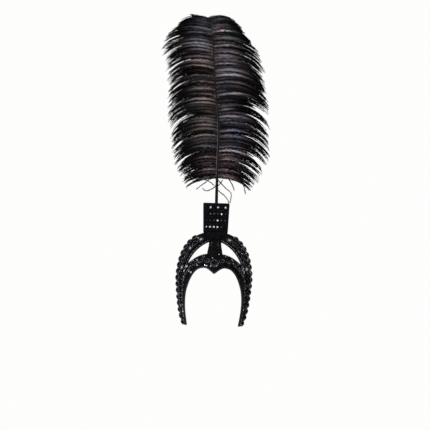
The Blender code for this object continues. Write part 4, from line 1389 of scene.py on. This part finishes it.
def strays():
    """Single loose barbs, sparsely fringed."""
    rng = np.random.default_rng(3)
    paths, fine = [], []
    t = np.linspace(0, 1, BARB_POINTS)
    for run in STRAYS:
        pins = np.array(run, float) * MM + np.array([0, HOLDER_Y, 0])
        place = np.linspace(0, 1, len(pins))
        path = np.array([row_at(pins, s) for s in t])
        paths.append(path)
        length = np.linalg.norm(np.diff(path, axis=0), axis=1).sum()
        for s in np.arange(0.03, 1, 0.5 * MM / length):
            spot = np.array(row_at(pins, s))
            along = np.array(row_at(pins, min(1, s + 0.02))) - np.array(row_at(pins, s - 0.02))
            along /= np.linalg.norm(along)
            out = rng.normal(0, 1, 3)
            out -= along * out.dot(along)
            out /= np.linalg.norm(out)
            reach = rng.uniform(2.0, 4.6) * MM
            way = along * 0.8 + out * 0.6
            fine.append([spot, spot + way * reach * 0.5, spot + (way + along * 0.4) * reach])
    paths = np.array(paths)
    widths = np.broadcast_to((1.3 * (1 - t) + 1.1) * MM, paths.shape[:2])
    points, faces = ribbons(paths, widths, np.array([0.0, -1, 0.2]))
    fine = np.array(fine)
    widths = np.broadcast_to(np.array([0.5, 0.4, 0.15]) * MM, fine.shape[:2])
    more, more_faces = ribbons(fine, widths, np.array([0.0, -1, 0.2]))
    both = np.concatenate([points, more])
    faces = np.concatenate([faces, more_faces + len(points)])
    shade = np.full((len(both), 3), DARK)
    obj = add_mesh("plume_strays", both, faces, FEATHER, False, shade)
    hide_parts("ostrich_plume")


# Floor, light and camera ------------------------------------------------------------------

PHOTO_LEAN = math.radians(1.95)
MM_PER_PIXEL = 2.6
FRAME_PIXELS = 430
VIEW_CENTRE = Vector((-2.8 * MM, 5 * MM, 74 * MM))
CAMERA_DISTANCE = 3.2
AMBIENT, BACKDROP = 0.12, 0.985


FLOOR_HEIGHT = -0.8
FLOOR_RADIUS = 1.6


def floor():
    """A round pale floor below the view."""
    sides = 96
    points = [(0, 0, FLOOR_HEIGHT)]
    for i in range(sides):
        turn = 2 * math.pi * i / sides
        points.append((FLOOR_RADIUS * math.cos(turn), FLOOR_RADIUS * math.sin(turn), FLOOR_HEIGHT))
    mesh = bpy.data.meshes.new("pale_floor")
    mesh.from_pydata(points, [], [(0, 1 + i, 1 + (i + 1) % sides) for i in range(sides)])
    made = Finish("pale_floor_paint", Emission_Color=(1, 1, 1, 1), Emission_Strength=0.2)
    made.colour(made.noise(3), [(0.3, (0.93, 0.93, 0.925)), (0.8, (0.96, 0.96, 0.955))])
    made.roughness(made.noise(8), 0.75, 0.95)
    mesh.materials.append(made.made)
    obj = bpy.data.objects.new("pale_floor", mesh)
    bpy.context.scene.collection.objects.link(obj)


def light(name, place, aim, size, power, colour=(1, 1, 1)):
    data = bpy.data.lights.new(name, "AREA")
    data.shape = "RECTANGLE"
    data.size, data.size_y = size
    data.energy = power
    data.color = colour
    obj = bpy.data.objects.new(name, data)
    obj.location = place
    obj.rotation_euler = (Vector(aim) - Vector(place)).to_track_quat("-Z", "Y").to_euler()
    bpy.context.scene.collection.objects.link(obj)


def camera():
    data = bpy.data.cameras.new("camera")
    data.sensor_width = 36
    data.lens = 36 * CAMERA_DISTANCE / (FRAME_PIXELS * MM_PER_PIXEL * MM)
    obj = bpy.data.objects.new("camera", data)
    right = Vector((math.cos(PHOTO_LEAN), 0, math.sin(PHOTO_LEAN)))
    up = Vector((-math.sin(PHOTO_LEAN), 0, math.cos(PHOTO_LEAN)))
    turned = Matrix((right, up, FORWARD)).transposed().to_4x4()
    obj.matrix_world = Matrix.Translation(VIEW_CENTRE + FORWARD * CAMERA_DISTANCE) @ turned
    bpy.context.scene.collection.objects.link(obj)
    bpy.context.scene.camera = obj


def surroundings():
    """A white studio that is bright behind the object and gives a softer light on it."""
    world = bpy.data.worlds.new("studio")
    world.use_nodes = True
    tree = world.node_tree
    back = tree.nodes["Background"]
    back.inputs["Color"].default_value = (1, 1, 0.993, 1)
    seen = tree.nodes.new("ShaderNodeLightPath")
    strength = tree.nodes.new("ShaderNodeMapRange")
    strength.inputs["To Min"].default_value = AMBIENT
    strength.inputs["To Max"].default_value = BACKDROP
    tree.links.new(seen.outputs["Is Camera Ray"], strength.inputs["Value"])
    tree.links.new(strength.outputs["Result"], back.inputs["Strength"])
    bpy.context.scene.world = world
    bpy.context.scene.view_settings.view_transform = "Standard"
    light("key", (-1.6, -2.0, 1.8), (0, 0, 0.2), (1.4, 1.4), 92)
    light("fill", (1.8, -2.2, 0.6), (0, 0, 0.2), (1.6, 1.6), 14)
    light("rear", (1.2, 2.2, 1.4), (0, 0, 0.2), (1.4, 1.4), 35)
    light("front", (-0.15, -3.6, 0.35), (0, 0, 0), (0.5, 0.5), 9)


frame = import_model()
HOLDER_TOP = rear_top(0) + CLEARANCE + HOLDER_HEIGHT
VANE_FOOT = HOLDER_TOP + STEM_BARE_LENGTH + CLEARANCE
CLOTH = cloth_finish()
SATIN = satin_finish()
THREAD = thread_finish()
JET = stone_finish("jet_cut", (0.0015, 0.0015, 0.0025), (0.005, 0.005, 0.008), 0.04, 0.0, 0.4)
JET_BEAD = stone_finish("jet_bead", (0.0012, 0.0012, 0.0018), (0.005, 0.005, 0.007), 0.12, 0.0, 0.15)
BEAD = stone_finish("gunmetal_bead", (0.05, 0.05, 0.06), (0.32, 0.33, 0.36), 0.2, 0.75)
# grey finish for stones that stand in for dimmer glints: painted glints, besides the real reflections of
# their facets
DIM_GLINT_FINISH = stone_finish("dim_glint_cut", (0.04, 0.045, 0.06), (0.12, 0.13, 0.17), 0.05, 0.4)
# pale crystal finish, a painted glint: its pale colour stands in for glints, besides the real reflections of
# its facets
GLINT_CRYSTAL = stone_finish("painted_glint_cut", (0.75, 0.78, 0.84), (0.95, 0.96, 1.0), 0.05, 0.25)
FEATHER = feather_finish()
STEM = stem_finish()
RIB = rib_finish()

camera()
floor()
surroundings()
front_band()
rear_band()
face_edge_piping()
crown_edge_piping()
centre_strap()
feather_holder()
for side, word in ((-1, "left"), (1, "right")):
    front_stones(side, word)
    rear_stones(side, word)
    vane(side, -1, f"front_{word}")
    vane(side, 1, f"back_{word}")
strap_stones()
holder_stones()
centre_stone()
plume_stem()
rib()
strays()

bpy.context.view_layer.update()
import json
